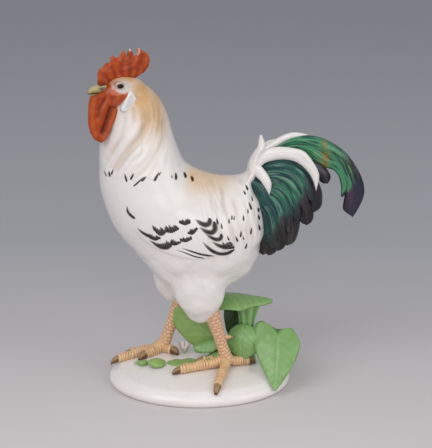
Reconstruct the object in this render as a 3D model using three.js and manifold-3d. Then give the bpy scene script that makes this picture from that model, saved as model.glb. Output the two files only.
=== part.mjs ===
// Porcelain rooster on a mound, in millimetres, +Z up. The bird looks along -X and its left side faces -Y.
// The origin is the middle of the mound's flat underside. Every piece is a pressed or cast piece of clay
// that is luted to its neighbours, with a hairline seam between them.
import * as THREE from 'three';
import { mergeVertices } from 'three/addons/utils/BufferGeometryUtils.js';
import Module from 'manifold-3d';

const wasm = await Module();
wasm.setup();

// Seams and walls
const LUTING_GAP = 0.3;
const SHELL_WALL = 4.5;
const VENT_DIAMETER = 4;

// Mound
const BASE_LENGTH = 130;
const BASE_WIDTH = 100;
const BASE_EDGE_HEIGHT = 8.5;
const BASE_CROWN_HEIGHT = 15.5;
const BASE_EDGE_ROUNDING = 2;

// Trunk and neck
const BODY_FRONT_X = -69;
const BODY_LENGTH = 113;
const BODY_HEIGHT = 91;
const BODY_WIDTH = 72;
const NECK_HEIGHT = 61;
const BELLY_CLEARANCE = 57;

// Head, turned towards the left side
const HEAD_TURN = 22;
const HEAD_LENGTH = 32;
const HEAD_HEIGHT = 23;
const HEAD_WIDTH = 24;
const BEAK_LENGTH = 10.5;
const BEAK_HEIGHT = 8.5;
const BEAK_WIDTH = 9;
const COMB_LENGTH = 39;
const COMB_HEIGHT = 26;
const COMB_THICKNESS = 5;
const WATTLE_LENGTH = 32;
const WATTLE_WIDTH = 20;
const WATTLE_THICKNESS = 5;
const WATTLE_SPLAY = 1.5;
const EARLOBE_HEIGHT = 15;
const EARLOBE_WIDTH = 9;
const EARLOBE_THICKNESS = 3.5;
const LOBE_STANDOFF = 0.6;

// Wings
const WING_LENGTH = 76;
const WING_DEPTH = 44;
const WING_RELIEF = 2.2;

// Legs and feet
const LEFT_HEEL = new THREE.Vector2(20, -9);
const RIGHT_HEEL = new THREE.Vector2(-27, 19);
const HIP_SPACING = 38;
const THIGH_LENGTH = 44;
const THIGH_DEPTH = 38;
const THIGH_WIDTH = 27;
const SHANK_DIAMETER = 9.4;
const HEEL_HEIGHT = 6;
const SPUR_LENGTH = 9;
const SPUR_DIAMETER = 4.4;
const TOE_DIAMETER = 7.6;
const MIDDLE_TOE_LENGTH = 36;
const OUTER_TOE_LENGTH = 34;
const INNER_TOE_LENGTH = 17;
const HIND_TOE_LENGTH = 16;
const CLAW_LENGTH = 6;

// Tail
const TAIL_REACH = 75;
const TAIL_HEIGHT = 90;
const TAIL_THICKNESS = 25;
const FAN_FEATHERS = 8;
const FAN_FEATHER_WIDTH = 15;
const COVERT_FEATHERS = 4;
const COVERT_THICKNESS = 5;
const SICKLE_WIDTH = 17;
const SICKLE_THICKNESS = 6;
const CRESCENT_WIDTH = 11;
const PLUME_WIDTH = 8;
const PLUME_THICKNESS = 4;

// Plants
const STEM_PLACE = new THREE.Vector2(34, 5);
const STEM_HEIGHT = 44;
const STEM_WAIST = 11;
const LEAF_THICKNESS = 2.2;
const PETIOLE_DIAMETER = 5;
const FLOWER_PLACE = new THREE.Vector2(-11, 14);
const FLOWER_DIAMETER = 9;
const FLOWER_HEIGHT = 7;

// Facets
const TRUNK_SIDES = 22;
const HOLLOW_SIDES = 12;
const LIMB_SIDES = 10;
const TOE_SIDES = 7;
const FEATHER_SIDES = 6;
const FEATHER_STEPS = 8;
const FAN_STEPS = 6;
const LEAF_ROWS = 7;
const LEAF_COLUMNS = 4;

const TURN = 2 * Math.PI;
const UP = new THREE.Vector3(0, 0, 1);
const SIDEWAYS = new THREE.Vector3(0, 1, 0);

const rad = (degrees) => THREE.MathUtils.degToRad(degrees);
const point = (x, y, z) => new THREE.Vector3(x, y, z);

// Value at share s of a list of evenly spread values
function mix(values, s) {
  const place = Math.min(Math.max(s, 0), 1) * (values.length - 1);
  const i = Math.min(Math.floor(place), values.length - 2);
  return THREE.MathUtils.lerp(values[i], values[i + 1], place - i);
}

// Closed geometry from corners and triangles, faces turned out
function closedGeometry(corners, triangles) {
  let volume = 0;
  for (const [a, b, c] of triangles) {
    volume += corners[a].dot(corners[b].clone().cross(corners[c]));
  }
  const outward = volume > 0 ? triangles : triangles.map(([a, b, c]) => [a, c, b]);
  const geometry = new THREE.BufferGeometry();
  const values = corners.flatMap((p) => p.toArray());
  geometry.setAttribute('position', new THREE.Float32BufferAttribute(values, 3));
  geometry.setIndex(outward.flat());
  return geometry;
}

// Solid through rings of points, closed at both ends by a fan
function loft(rings) {
  const sides = rings[0].length;
  const corners = rings.flat();
  const triangles = [];
  for (let r = 0; r + 1 < rings.length; r += 1) {
    for (let i = 0; i < sides; i += 1) {
      const a = r * sides + i;
      const b = r * sides + ((i + 1) % sides);
      triangles.push([a, b, a + sides], [b, b + sides, a + sides]);
    }
  }
  for (const [ring, first] of [[rings[0], 0], [rings.at(-1), (rings.length - 1) * sides]]) {
    const middle = ring.reduce((sum, p) => sum.add(p), new THREE.Vector3()).divideScalar(sides);
    const tip = corners.push(middle) - 1;
    for (let i = 0; i < sides; i += 1) {
      const edge = [first + i, first + ((i + 1) % sides)];
      triangles.push(first === 0 ? [tip, edge[1], edge[0]] : [tip, edge[0], edge[1]]);
    }
  }
  return closedGeometry(corners, triangles);
}

// Oval ring with half axes across and through
function oval(centre, across, through, sides) {
  return Array.from({ length: sides }, (_, i) => {
    const angle = (TURN * i) / sides;
    return centre.clone().addScaledVector(across, Math.cos(angle)).addScaledVector(through, Math.sin(angle));
  });
}

// Round bar along a path, with a radius at each of its points
function bar(path, radii, sides, steps = 2 * (path.length - 1)) {
  const curve = new THREE.CatmullRomCurve3(path);
  const rings = [];
  for (let i = 0; i <= steps; i += 1) {
    const s = i / steps;
    const along = curve.getTangent(s);
    const helper = Math.abs(along.z) > 0.8 ? point(1, 0, 0) : UP;
    const across = helper.clone().cross(along).normalize();
    const through = along.clone().cross(across);
    const radius = mix(radii, s);
    rings.push(oval(curve.getPoint(s), across.multiplyScalar(radius), through.multiplyScalar(radius), sides));
  }
  return loft(rings);
}

// Flat feather along a path, its face turned sideways
function feather(path, halfWidths, halfThicknesses, steps = FEATHER_STEPS) {
  const curve = new THREE.CatmullRomCurve3(path);
  const rings = [];
  for (let i = 0; i <= steps; i += 1) {
    const s = i / steps;
    const along = curve.getTangent(s);
    const across = SIDEWAYS.clone().cross(along).normalize();
    const through = along.clone().cross(across);
    across.multiplyScalar(mix(halfWidths, s));
    through.multiplyScalar(mix(halfThicknesses, s));
    rings.push(oval(curve.getPoint(s), across, through, FEATHER_SIDES));
  }
  return loft(rings);
}

// Closed sheet of even thickness over rows of middle points
function sheet(rows, thickness) {
  const last = rows.length - 1;
  const width = rows[0].length;
  const top = [];
  const bottom = [];
  for (let r = 0; r <= last; r += 1) {
    for (let c = 0; c < width; c += 1) {
      const alongRow = rows[r][Math.min(c + 1, width - 1)].clone().sub(rows[r][Math.max(c - 1, 0)]);
      const downRows = rows[Math.min(r + 1, last)][c].clone().sub(rows[Math.max(r - 1, 0)][c]);
      const normal = alongRow.cross(downRows).normalize().multiplyScalar(thickness / 2);
      top.push(rows[r][c].clone().add(normal));
      bottom.push(rows[r][c].clone().sub(normal));
    }
  }
  const under = top.length;
  const triangles = [];
  for (let r = 0; r < last; r += 1) {
    for (let c = 0; c + 1 < width; c += 1) {
      const a = r * width + c;
      triangles.push([a, a + width, a + 1], [a + 1, a + width, a + width + 1]);
      triangles.push([under + a, under + a + 1, under + a + width]);
      triangles.push([under + a + 1, under + a + width + 1, under + a + width]);
    }
  }
  const rim = [];
  for (let c = 0; c + 1 < width; c += 1) rim.push(c);
  for (let r = 0; r < last; r += 1) rim.push(r * width + width - 1);
  for (let c = width - 1; c > 0; c -= 1) rim.push(last * width + c);
  for (let r = last; r > 0; r -= 1) rim.push(r * width);
  rim.forEach((a, i) => {
    const b = rim[(i + 1) % rim.length];
    triangles.push([a, b, under + a], [b, under + b, under + a]);
  });
  return closedGeometry([...top, ...bottom], triangles);
}

// Geometry with nothing but merged positions
function bare(geometry) {
  geometry.deleteAttribute('normal');
  geometry.deleteAttribute('uv');
  return mergeVertices(geometry, 1e-4);
}

// Geometry with its faces moved outwards by an amount
function grown(geometry, amount) {
  const position = geometry.attributes.position;
  const index = geometry.index.array;
  const corners = Array.from({ length: position.count }, (_, i) => (
    point(0, 0, 0).fromBufferAttribute(position, i)
  ));
  const normals = corners.map(() => point(0, 0, 0));
  const faces = [];
  for (let i = 0; i < index.length; i += 3) {
    const [a, b, c] = [index[i], index[i + 1], index[i + 2]];
    const face = corners[b].clone().sub(corners[a]).cross(corners[c].clone().sub(corners[a])).normalize();
    faces.push([a, b, c, face]);
    for (const [at, next, previous] of [[a, b, c], [b, c, a], [c, a, b]]) {
      const edge = corners[next].clone().sub(corners[at]);
      const angle = edge.angleTo(corners[previous].clone().sub(corners[at]));
      normals[at].addScaledVector(face, angle);
    }
  }
  const slant = corners.map(() => 1);
  normals.forEach((normal) => normal.normalize());
  for (const [a, b, c, face] of faces) {
    for (const at of [a, b, c]) slant[at] = Math.min(slant[at], normals[at].dot(face));
  }
  const moved = corners.map((p, i) => p.addScaledVector(normals[i], amount / Math.max(slant[i], 0.5)));
  return closedGeometry(moved, faces.map(([a, b, c]) => [a, b, c]));
}

// Solid of a closed geometry
function solidOf(geometry) {
  return new wasm.Manifold(new wasm.Mesh({
    numProp: 3,
    vertProperties: new Float32Array(geometry.attributes.position.array),
    triVerts: new Uint32Array(geometry.index.array),
  }));
}

const unionOf = (geometries) => geometries.map(solidOf).reduce((all, one) => all.add(one));

// Geometry of a solid
function geometryOf(solid) {
  const mesh = solid.getMesh();
  const geometry = new THREE.BufferGeometry();
  geometry.setAttribute('position', new THREE.BufferAttribute(new Float32Array(mesh.vertProperties), 3));
  geometry.setIndex(new THREE.BufferAttribute(new Uint32Array(mesh.triVerts), 1));
  return mergeVertices(geometry, 1e-3);
}

// Largest body of a solid, without the slivers that a cut leaves
function largestOf(solid) {
  return solid.decompose().sort((a, b) => b.volume() - a.volume())[0];
}

// Height of the mound's top at a place
function groundAt(x, y) {
  const out = (2 * x / BASE_LENGTH) ** 2 + (2 * y / BASE_WIDTH) ** 2;
  const rise = BASE_CROWN_HEIGHT - BASE_EDGE_HEIGHT;
  return BASE_EDGE_HEIGHT + rise * Math.max(0, 1 - out) ** 0.8;
}

// Finishes
const glaze = (color, roughness = 0.18) => (
  new THREE.MeshStandardMaterial({ color, roughness, metalness: 0 })
);
const WHITE = glaze('#e6e1de');
const MOUND_WHITE = glaze('#e1dcd9');
const COMB_RED = glaze('#a54623', 0.25);
const BEAK_HORN = glaze('#afa06e', 0.3);
const LOBE_WHITE = glaze('#dcdfe2');
const LEG_TAN = glaze('#e0b082', 0.3);
const SICKLE_GREEN = glaze('#3f7f68');
const TEAL = glaze('#28604f');
const TAIL_BLACK = glaze('#2f3a37');
const LEAF_GREEN = glaze('#6ea564', 0.25);
const BLOSSOM = glaze('#e3d3d0');

// Mound
function moundForm() {
  const half = BASE_LENGTH / 2;
  const profile = [new THREE.Vector2(0, 0), new THREE.Vector2(half - BASE_EDGE_ROUNDING, 0)];
  for (const angle of [-45, 0, 45]) {
    const rise = BASE_EDGE_ROUNDING * (1 + Math.sin(rad(angle)));
    const lift = angle > 0 ? BASE_EDGE_HEIGHT - 2 * BASE_EDGE_ROUNDING : 0;
    profile.push(new THREE.Vector2(half - BASE_EDGE_ROUNDING * (1 - Math.cos(rad(angle))), rise + lift));
  }
  for (const share of [0.96, 0.87, 0.74, 0.58, 0.4, 0.2, 0]) {
    profile.push(new THREE.Vector2(half * share, groundAt(half * share, 0)));
  }
  const geometry = bare(new THREE.LatheGeometry(profile, 30));
  geometry.rotateX(Math.PI / 2);
  geometry.scale(1, BASE_WIDTH / BASE_LENGTH, 1);
  return geometry;
}

// Trunk and neck: shares of length and height from the chest and the belly line. Above 1 the height runs up
// the neck. Each station goes from a front or belly point to a back point and has a share of the half width.
const BELLY_Z = groundAt(LEFT_HEEL.x, LEFT_HEEL.y) + BELLY_CLEARANCE;
const TRUNK = [
  { low: [1, 0.48], high: [0.97, 0.76], wide: 0.3 },
  { low: [0.98, 0.27], high: [0.912, 0.94], wide: 0.62 },
  { low: [0.905, 0.12], high: [0.84, 0.91], wide: 0.83 },
  { low: [0.75, 0.02], high: [0.735, 0.905], wide: 0.96 },
  { low: [0.558, 0], high: [0.62, 0.945], wide: 1 },
  { low: [0.38, 0.055], high: [0.53, 1.016], wide: 1 },
  { low: [0.25, 0.26], high: [0.5, 1.115], wide: 0.96 },
  { low: [0.128, 0.435], high: [0.478, 1.22], wide: 0.92 },
  { low: [0.05, 0.615], high: [0.456, 1.328], wide: 0.86 },
  { low: [0.004, 0.824], high: [0.434, 1.443], wide: 0.78 },
  { low: [0, 1], high: [0.412, 1.54], wide: 0.69 },
  { low: [0.009, 1.246], high: [0.38, 1.672], wide: 0.6 },
  { low: [0.044, 1.475], high: [0.345, 1.803], wide: 0.5 },
  { low: [0.07, 1.656], high: [0.3, 1.902], wide: 0.42 },
  { low: [0.1, 1.787], high: [0.24, 1.96], wide: 0.29 },
];

function trunkPoint(u, v, y = 0) {
  const z = v <= 1 ? v * BODY_HEIGHT : BODY_HEIGHT + (v - 1) * NECK_HEIGHT;
  return point(BODY_FRONT_X + u * BODY_LENGTH, y, BELLY_Z + z);
}

function trunkForm(inset, stations, sides) {
  return loft(stations.map(({ low, high, wide }) => {
    const bottom = trunkPoint(...low);
    const across = trunkPoint(...high).sub(bottom).divideScalar(2);
    const centre = bottom.add(across);
    across.setLength(across.length() - inset);
    return oval(centre, across, SIDEWAYS.clone().multiplyScalar((wide * BODY_WIDTH) / 2 - inset), sides);
  }));
}

const SEAM_Z = trunkPoint(0, 1).z;
const trunkGeometry = trunkForm(0, TRUNK, TRUNK_SIDES);

// Everything above a height, or below it
function slab(z, above) {
  const size = 4 * (BODY_LENGTH + BODY_HEIGHT);
  const box = bare(new THREE.BoxGeometry(size, size, size));
  return solidOf(box.translate(0, 0, z + (above ? size : -size) / 2));
}

// Head: its own frame has the face along -X, turned about the upright at the top of the neck
const HEAD_FRAME = new THREE.Matrix4()
  .makeRotationZ(rad(HEAD_TURN))
  .setPosition(trunkPoint(0.168, 1.86, -4));

function headForm() {
  const rings = [
    [0.45, 0, 0.18], [0.3, 0.02, 0.36], [0.05, 0, 0.48],
    [-0.17, 0, 0.5], [-0.38, -0.04, 0.42], [-0.55, -0.08, 0.27],
  ];
  return loft(rings.map(([along, rise, half]) => oval(
    point(along * HEAD_LENGTH, 0, rise * HEAD_HEIGHT),
    SIDEWAYS.clone().multiplyScalar(half * HEAD_WIDTH),
    UP.clone().multiplyScalar(half * HEAD_HEIGHT),
    16,
  ))).applyMatrix4(HEAD_FRAME);
}

const FACE_X = -0.5 * HEAD_LENGTH;

function beakForm() {
  const rings = [[0.1, 0, 0.5], [-0.5, 0.02, 0.46], [-0.85, -0.05, 0.34], [-1, -0.18, 0.16]];
  return loft(rings.map(([along, drop, half]) => oval(
    point(FACE_X + along * BEAK_LENGTH, 0, drop * BEAK_HEIGHT),
    SIDEWAYS.clone().multiplyScalar(half * BEAK_WIDTH),
    UP.clone().multiplyScalar(half * BEAK_HEIGHT),
    LIMB_SIDES,
  ))).applyMatrix4(HEAD_FRAME);
}

// Comb outline: shares of its length, measured back from its front, and of its height over its foot
const COMB_OUTLINE = [
  [0, 0.02], [0.02, 0.34], [0.07, 0.47], [0.11, 0.42], [0.16, 0.6], [0.21, 0.56],
  [0.31, 0.83], [0.38, 0.68], [0.46, 0.86], [0.54, 0.97], [0.57, 0.76], [0.63, 0.98],
  [0.66, 1.04], [0.73, 0.78], [0.81, 1.03], [0.92, 0.95], [0.99, 0.74], [0.96, 0.52],
  [0.86, 0.34], [0.7, 0.14], [0.4, -0.06], [0.15, -0.1],
];

function combForm() {
  const bevel = COMB_THICKNESS * 0.3;
  const shape = new THREE.Shape(COMB_OUTLINE.map(([along, rise]) => new THREE.Vector2(
    along * COMB_LENGTH,
    rise * COMB_HEIGHT,
  )));
  const geometry = bare(new THREE.ExtrudeGeometry(shape, {
    depth: COMB_THICKNESS - 2 * bevel,
    bevelThickness: bevel,
    bevelSize: bevel * 0.7,
    bevelOffset: -bevel * 0.7,
    bevelSegments: 1,
  }));
  geometry.translate(0, 0, bevel - COMB_THICKNESS / 2).rotateX(Math.PI / 2);
  geometry.translate(FACE_X - 0.12 * COMB_LENGTH, 0, 0.14 * HEAD_HEIGHT);
  return geometry.applyMatrix4(HEAD_FRAME);
}

function wattleForm(side) {
  const stations = [
    [0, 0.6, 0.4], [0.2, 0.95, 0.5], [0.45, 1, 0.5],
    [0.7, 0.8, 0.42], [0.9, 0.5, 0.32], [1, 0.2, 0.15],
  ];
  return loft(stations.map(([drop, wide, thick]) => oval(
    point(
      -0.42 * HEAD_LENGTH - 0.1 * WATTLE_WIDTH * drop,
      side * (0.16 * HEAD_WIDTH + WATTLE_SPLAY * drop),
      -0.1 * HEAD_HEIGHT - drop * WATTLE_LENGTH,
    ),
    point(wide * WATTLE_WIDTH / 2, 0, 0),
    point(0, thick * WATTLE_THICKNESS, 0),
    LIMB_SIDES,
  ))).applyMatrix4(HEAD_FRAME);
}

function earlobeForm(side) {
  const geometry = bare(new THREE.SphereGeometry(0.5, 10, 6));
  geometry.scale(EARLOBE_WIDTH, EARLOBE_THICKNESS * 2, EARLOBE_HEIGHT);
  const neckTop = TRUNK.at(-1).wide * BODY_WIDTH / 2;
  const out = Math.max(0.46 * HEAD_WIDTH, neckTop + LOBE_STANDOFF);
  geometry.translate(0.02 * HEAD_LENGTH, side * out, -0.22 * HEAD_HEIGHT);
  return geometry.applyMatrix4(HEAD_FRAME);
}

// Wing outline: shares of its length back from the shoulder and of its depth below the back edge
const WING_OUTLINE = [
  [0, 0.2], [0.07, 0.52], [0.22, 0.78], [0.42, 0.92], [0.65, 1], [0.85, 0.93], [1, 0.76], [0.93, 0.48],
  [0.74, 0.22], [0.48, 0.05], [0.22, -0.02], [0.07, 0.04],
];

// Relief plate that follows the trunk's side
function wingSolid(side) {
  const shoulder = trunkPoint(0.16, 0.85);
  const outline = new THREE.SplineCurve([...WING_OUTLINE, WING_OUTLINE[0]].map(([along, drop]) => (
    new THREE.Vector2(shoulder.x + along * WING_LENGTH, shoulder.z - drop * WING_DEPTH)
  )));
  const shape = new THREE.Shape(outline.getPoints(24).slice(0, -1));
  const slug = bare(new THREE.ExtrudeGeometry(shape, { depth: BODY_WIDTH, bevelEnabled: false }));
  slug.rotateX(Math.PI / 2);
  if (side > 0) slug.translate(0, BODY_WIDTH, 0);
  return solidOf(slug)
    .intersect(solidOf(grown(trunkGeometry, LUTING_GAP + WING_RELIEF)))
    .subtract(solidOf(grown(trunkGeometry, LUTING_GAP)));
}

// Thighs: each hangs from the trunk's side and ends in a rounded lobe
const THIGHS = {
  left: { side: -1, hip: trunkPoint(0.595, 0.25), lean: 0.14 },
  right: { side: 1, hip: trunkPoint(0.482, 0.28), lean: -0.03 },
};

function thighPoint({ side, hip, lean }, share) {
  return point(
    hip.x + lean * share * THIGH_LENGTH,
    side * (HIP_SPACING / 2) * (1 - 0.18 * share),
    hip.z - share * THIGH_LENGTH,
  );
}

function thighForm(thigh) {
  const stations = [[-0.1, 0.6], [0.15, 0.95], [0.42, 1], [0.62, 0.9], [0.8, 0.68], [0.92, 0.42], [1, 0.16]];
  return loft(stations.map(([share, wide]) => oval(
    thighPoint(thigh, share),
    point(wide * THIGH_DEPTH / 2, 0, 0),
    point(0, wide * THIGH_WIDTH / 2, 0),
    16,
  )));
}

// Shank from inside the thigh's lobe down to the heel
function onGround(x, y, lift) {
  return point(x, y, groundAt(x, y) + lift);
}

function shankPath(thigh, heel) {
  const top = thighPoint(thigh, 0.72).add(point(0.14 * THIGH_DEPTH, 0, 0));
  const foot = onGround(heel.x, heel.y, HEEL_HEIGHT * 0.6);
  return [top, top.clone().lerp(foot, 0.33), top.clone().lerp(foot, 0.7), foot];
}

function shankForm(thigh, heel) {
  const radii = [1, 0.98, 0.95, 1.12].map((share) => share * SHANK_DIAMETER / 2);
  return bar(shankPath(thigh, heel), radii, LIMB_SIDES, 5);
}

function spurForm(thigh, heel) {
  const path = shankPath(thigh, heel);
  const root = path[1].clone().lerp(path[2], 0.5);
  const out = point(0.75, thigh.side * -0.4, -0.25).normalize();
  const start = root.clone().addScaledVector(out, 0.2 * SHANK_DIAMETER);
  const end = root.clone().addScaledVector(out, SHANK_DIAMETER / 2 + SPUR_LENGTH);
  const middle = start.clone().lerp(end, 0.5).add(point(0, 0, -0.4));
  return bar([start, middle, end], [0.5, 0.38, 0.12].map((share) => share * SPUR_DIAMETER), TOE_SIDES, 3);
}

// Toe along the ground with two knuckles, then a claw
function toeForm(heel, heading, length) {
  const reach = length + CLAW_LENGTH;
  const stations = [
    [0.04, 0.46, 0.9], [0.2, 0.46, 0.5], [0.34, 0.42, 0.42],
    [0.48, 0.46, 0.46], [0.62, 0.38, 0.4], [0.74, 0.42, 0.44],
    [0.84, 0.32, 0.4], [0.93, 0.22, 0.3], [1, 0.07, 0.1],
  ];
  const direction = point(Math.cos(rad(heading)), Math.sin(rad(heading)), 0);
  const across = point(-direction.y, direction.x, 0);
  return loft(stations.map(([share, radius, lift]) => oval(
    onGround(heel.x + direction.x * share * reach, heel.y + direction.y * share * reach, lift * TOE_DIAMETER),
    across.clone().multiplyScalar(radius * TOE_DIAMETER),
    UP.clone().multiplyScalar(radius * TOE_DIAMETER * 1.05),
    TOE_SIDES,
  )));
}

// Tail: shares of its reach and height from its root, the y in millimetres
const TAIL_ROOT = trunkPoint(0.965, 0.857);

function tailPoint(along, rise, y = 0) {
  return point(TAIL_ROOT.x + along * TAIL_REACH, y, TAIL_ROOT.z + rise * TAIL_HEIGHT);
}

const tailPath = (shares, y = 0) => shares.map(([along, rise]) => tailPoint(along, rise, y));
const halves = (shares, size) => shares.map((share) => (share * size) / 2);

// Feathers of a fan between an upper and a lower feather line
function fanFeathers(upper, lower, count, { y, bulge, widths, width, thicknesses, thickness }) {
  return Array.from({ length: count }, (_, k) => {
    const share = k / (count - 1);
    const spread = bulge * (1 - (2 * share - 1) ** 2);
    const path = upper.map(([along, rise], i) => {
      const out = (spread * i) / (upper.length - 1);
      return tailPoint(
        THREE.MathUtils.lerp(along, lower[i][0], share) + out,
        THREE.MathUtils.lerp(rise, lower[i][1], share) - out,
        mix(y, i / (upper.length - 1)),
      );
    });
    return feather(path, halves(widths, width), halves(thicknesses, thickness), FAN_STEPS);
  });
}

const fanForms = () => fanFeathers(
  [[-0.06, 0.1], [0.24, 0.16], [0.46, 0.12], [0.6, 0.05], [0.67, -0.02]],
  [[-0.06, -0.42], [0.04, -0.45], [0.08, -0.49], [0.11, -0.54], [0.125, -0.59]],
  FAN_FEATHERS,
  {
    y: [0, 0],
    bulge: 0.04,
    widths: [0.8, 1, 1, 0.9, 0.35],
    width: FAN_FEATHER_WIDTH,
    thicknesses: [0.8, 1, 0.75, 0.5, 0.2],
    thickness: TAIL_THICKNESS,
  },
);

const covertForms = (side) => fanFeathers(
  [[-0.04, 0.12], [0.17, 0.2], [0.34, 0.18], [0.46, 0.09], [0.51, -0.02]],
  [[-0.02, -0.1], [0.03, -0.16], [0.07, -0.22], [0.1, -0.3], [0.11, -0.38]],
  COVERT_FEATHERS,
  {
    y: [0.36, 0.46, 0.42, 0.32, 0.22].map((share) => side * share * TAIL_THICKNESS),
    bulge: 0.03,
    widths: [0.7, 0.95, 0.95, 0.8, 0.3],
    width: FAN_FEATHER_WIDTH,
    thicknesses: [0.8, 1, 1, 0.8, 0.4],
    thickness: COVERT_THICKNESS,
  },
);

const sickleForm = () => feather(
  tailPath([
    [-0.03, 0.15], [0.11, 0.22], [0.27, 0.29], [0.4, 0.305], [0.535, 0.285], [0.665, 0.225], [0.785, 0.13],
    [0.865, 0.02], [0.9, -0.09], [0.885, -0.19], [0.86, -0.26],
  ]),
  halves([0.5, 0.6, 0.8, 0.92, 1, 1, 0.95, 0.95, 0.9, 0.75, 0.35], SICKLE_WIDTH),
  halves([1, 1, 1, 1, 1, 1, 1, 0.95, 0.85, 0.7, 0.5], SICKLE_THICKNESS),
);

const sickleWhiteForm = () => feather(
  tailPath([[-0.03, 0.19], [0.08, 0.27], [0.19, 0.325], [0.3, 0.36], [0.4, 0.368], [0.52, 0.345]], 0.5),
  halves([1, 1, 0.95, 0.8, 0.6, 0.15], PLUME_WIDTH),
  halves([1.3, 1.3, 1.2, 1, 0.8, 0.4], PLUME_THICKNESS),
);

const crescentForm = (side) => feather(
  tailPath([
    [-0.02, 0.13], [0.09, 0.22], [0.2, 0.27], [0.3, 0.26],
    [0.4, 0.22], [0.48, 0.17], [0.53, 0.09], [0.54, 0.03],
    [0.547, -0.03],
  ]).map((p, i) => p.setY(side * mix([0.2, 0.36, 0.3, 0.22], i / 8) * TAIL_THICKNESS)),
  halves([0.7, 0.65, 0.75, 0.9, 1, 0.85, 0.6, 0.4, 0.08], CRESCENT_WIDTH),
  halves([1.2, 1.2, 1.1, 1.1, 1.1, 1, 0.9, 0.8, 0.4], PLUME_THICKNESS),
);

const plumeForm = (side) => feather(
  tailPath([[-0.1, 0.09], [-0.03, 0.115], [0.045, 0.1], [0.09, 0.05], [0.112, 0], [0.12, -0.045]])
    .map((p, i) => p.setY(side * mix([0.52, 0.62, 0.62, 0.58], i / 5) * TAIL_THICKNESS)),
  halves([0.7, 0.95, 1, 0.75, 0.45, 0.1], PLUME_WIDTH),
  halves([1.4, 1.3, 1.2, 1.1, 0.9, 0.5], PLUME_THICKNESS),
);

const spikeForm = () => feather(
  tailPath([[-0.14, -0.02], [-0.07, 0.1], [-0.01, 0.22], [0.035, 0.32], [0.045, 0.38]]),
  halves([1.2, 1.1, 0.9, 0.5, 0.12], PLUME_WIDTH),
  halves([3.4, 2.8, 2, 1.1, 0.4], PLUME_THICKNESS),
);

// Plants: each leaf starts at a root, heads off at an azimuth and a climb, and droops by a bend
const STEM_FOOT = onGround(STEM_PLACE.x, STEM_PLACE.y, 0);
const stemPoint = (x, y, z) => STEM_FOOT.clone().add(point(x, y, z));
const HEART_ROOT = stemPoint(22.5, -13, 0.5 * STEM_HEIGHT);

function leafForm({ root, azimuth, climb, bend, length, widths, width, roll = 0, cup = 0, lobe = 0 }) {
  const heading = point(Math.cos(rad(azimuth)), Math.sin(rad(azimuth)), 0);
  const flat = point(-heading.y, heading.x, 0);
  const at = root.clone();
  const rows = [];
  for (let r = 0; r <= LEAF_ROWS; r += 1) {
    const s = r / LEAF_ROWS;
    const rise = rad(climb - bend * s);
    const along = heading.clone().multiplyScalar(Math.cos(rise)).addScaledVector(UP, Math.sin(rise));
    const across = flat.clone().applyAxisAngle(along, rad(roll));
    const normal = along.clone().cross(across);
    const half = (mix(widths, s) * width) / 2;
    rows.push(Array.from({ length: LEAF_COLUMNS + 1 }, (_, c) => {
      const t = (2 * c) / LEAF_COLUMNS - 1;
      return at.clone()
        .addScaledVector(across, half * t)
        .addScaledVector(normal, cup * half * t * t)
        .addScaledVector(along, -lobe * Math.sin(rad(135) * Math.abs(t)) * (1 - s) ** 2);
    }));
    at.addScaledVector(along, length / LEAF_ROWS);
  }
  return sheet(rows, LEAF_THICKNESS);
}

function stemForms() {
  const rings = [[-0.05, 1.5], [0.12, 1.15], [0.4, 0.85], [0.62, 0.9], [0.85, 1.25], [1.02, 1.7]];
  const stalk = loft(rings.map(([rise, wide], i) => oval(
    stemPoint(0.4 * i - 1, 0, rise * STEM_HEIGHT),
    point(wide * STEM_WAIST / 2, 0, 0),
    point(0, wide * STEM_WAIST * 0.4, 0),
    12,
  )));
  const petiole = bar(
    [stemPoint(0, 0, 0.46 * STEM_HEIGHT), stemPoint(12, -6, 0.54 * STEM_HEIGHT), HEART_ROOT],
    halves([1.2, 1, 0.8], PETIOLE_DIAMETER),
    TOE_SIDES,
  );
  return [stalk, petiole];
}

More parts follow.
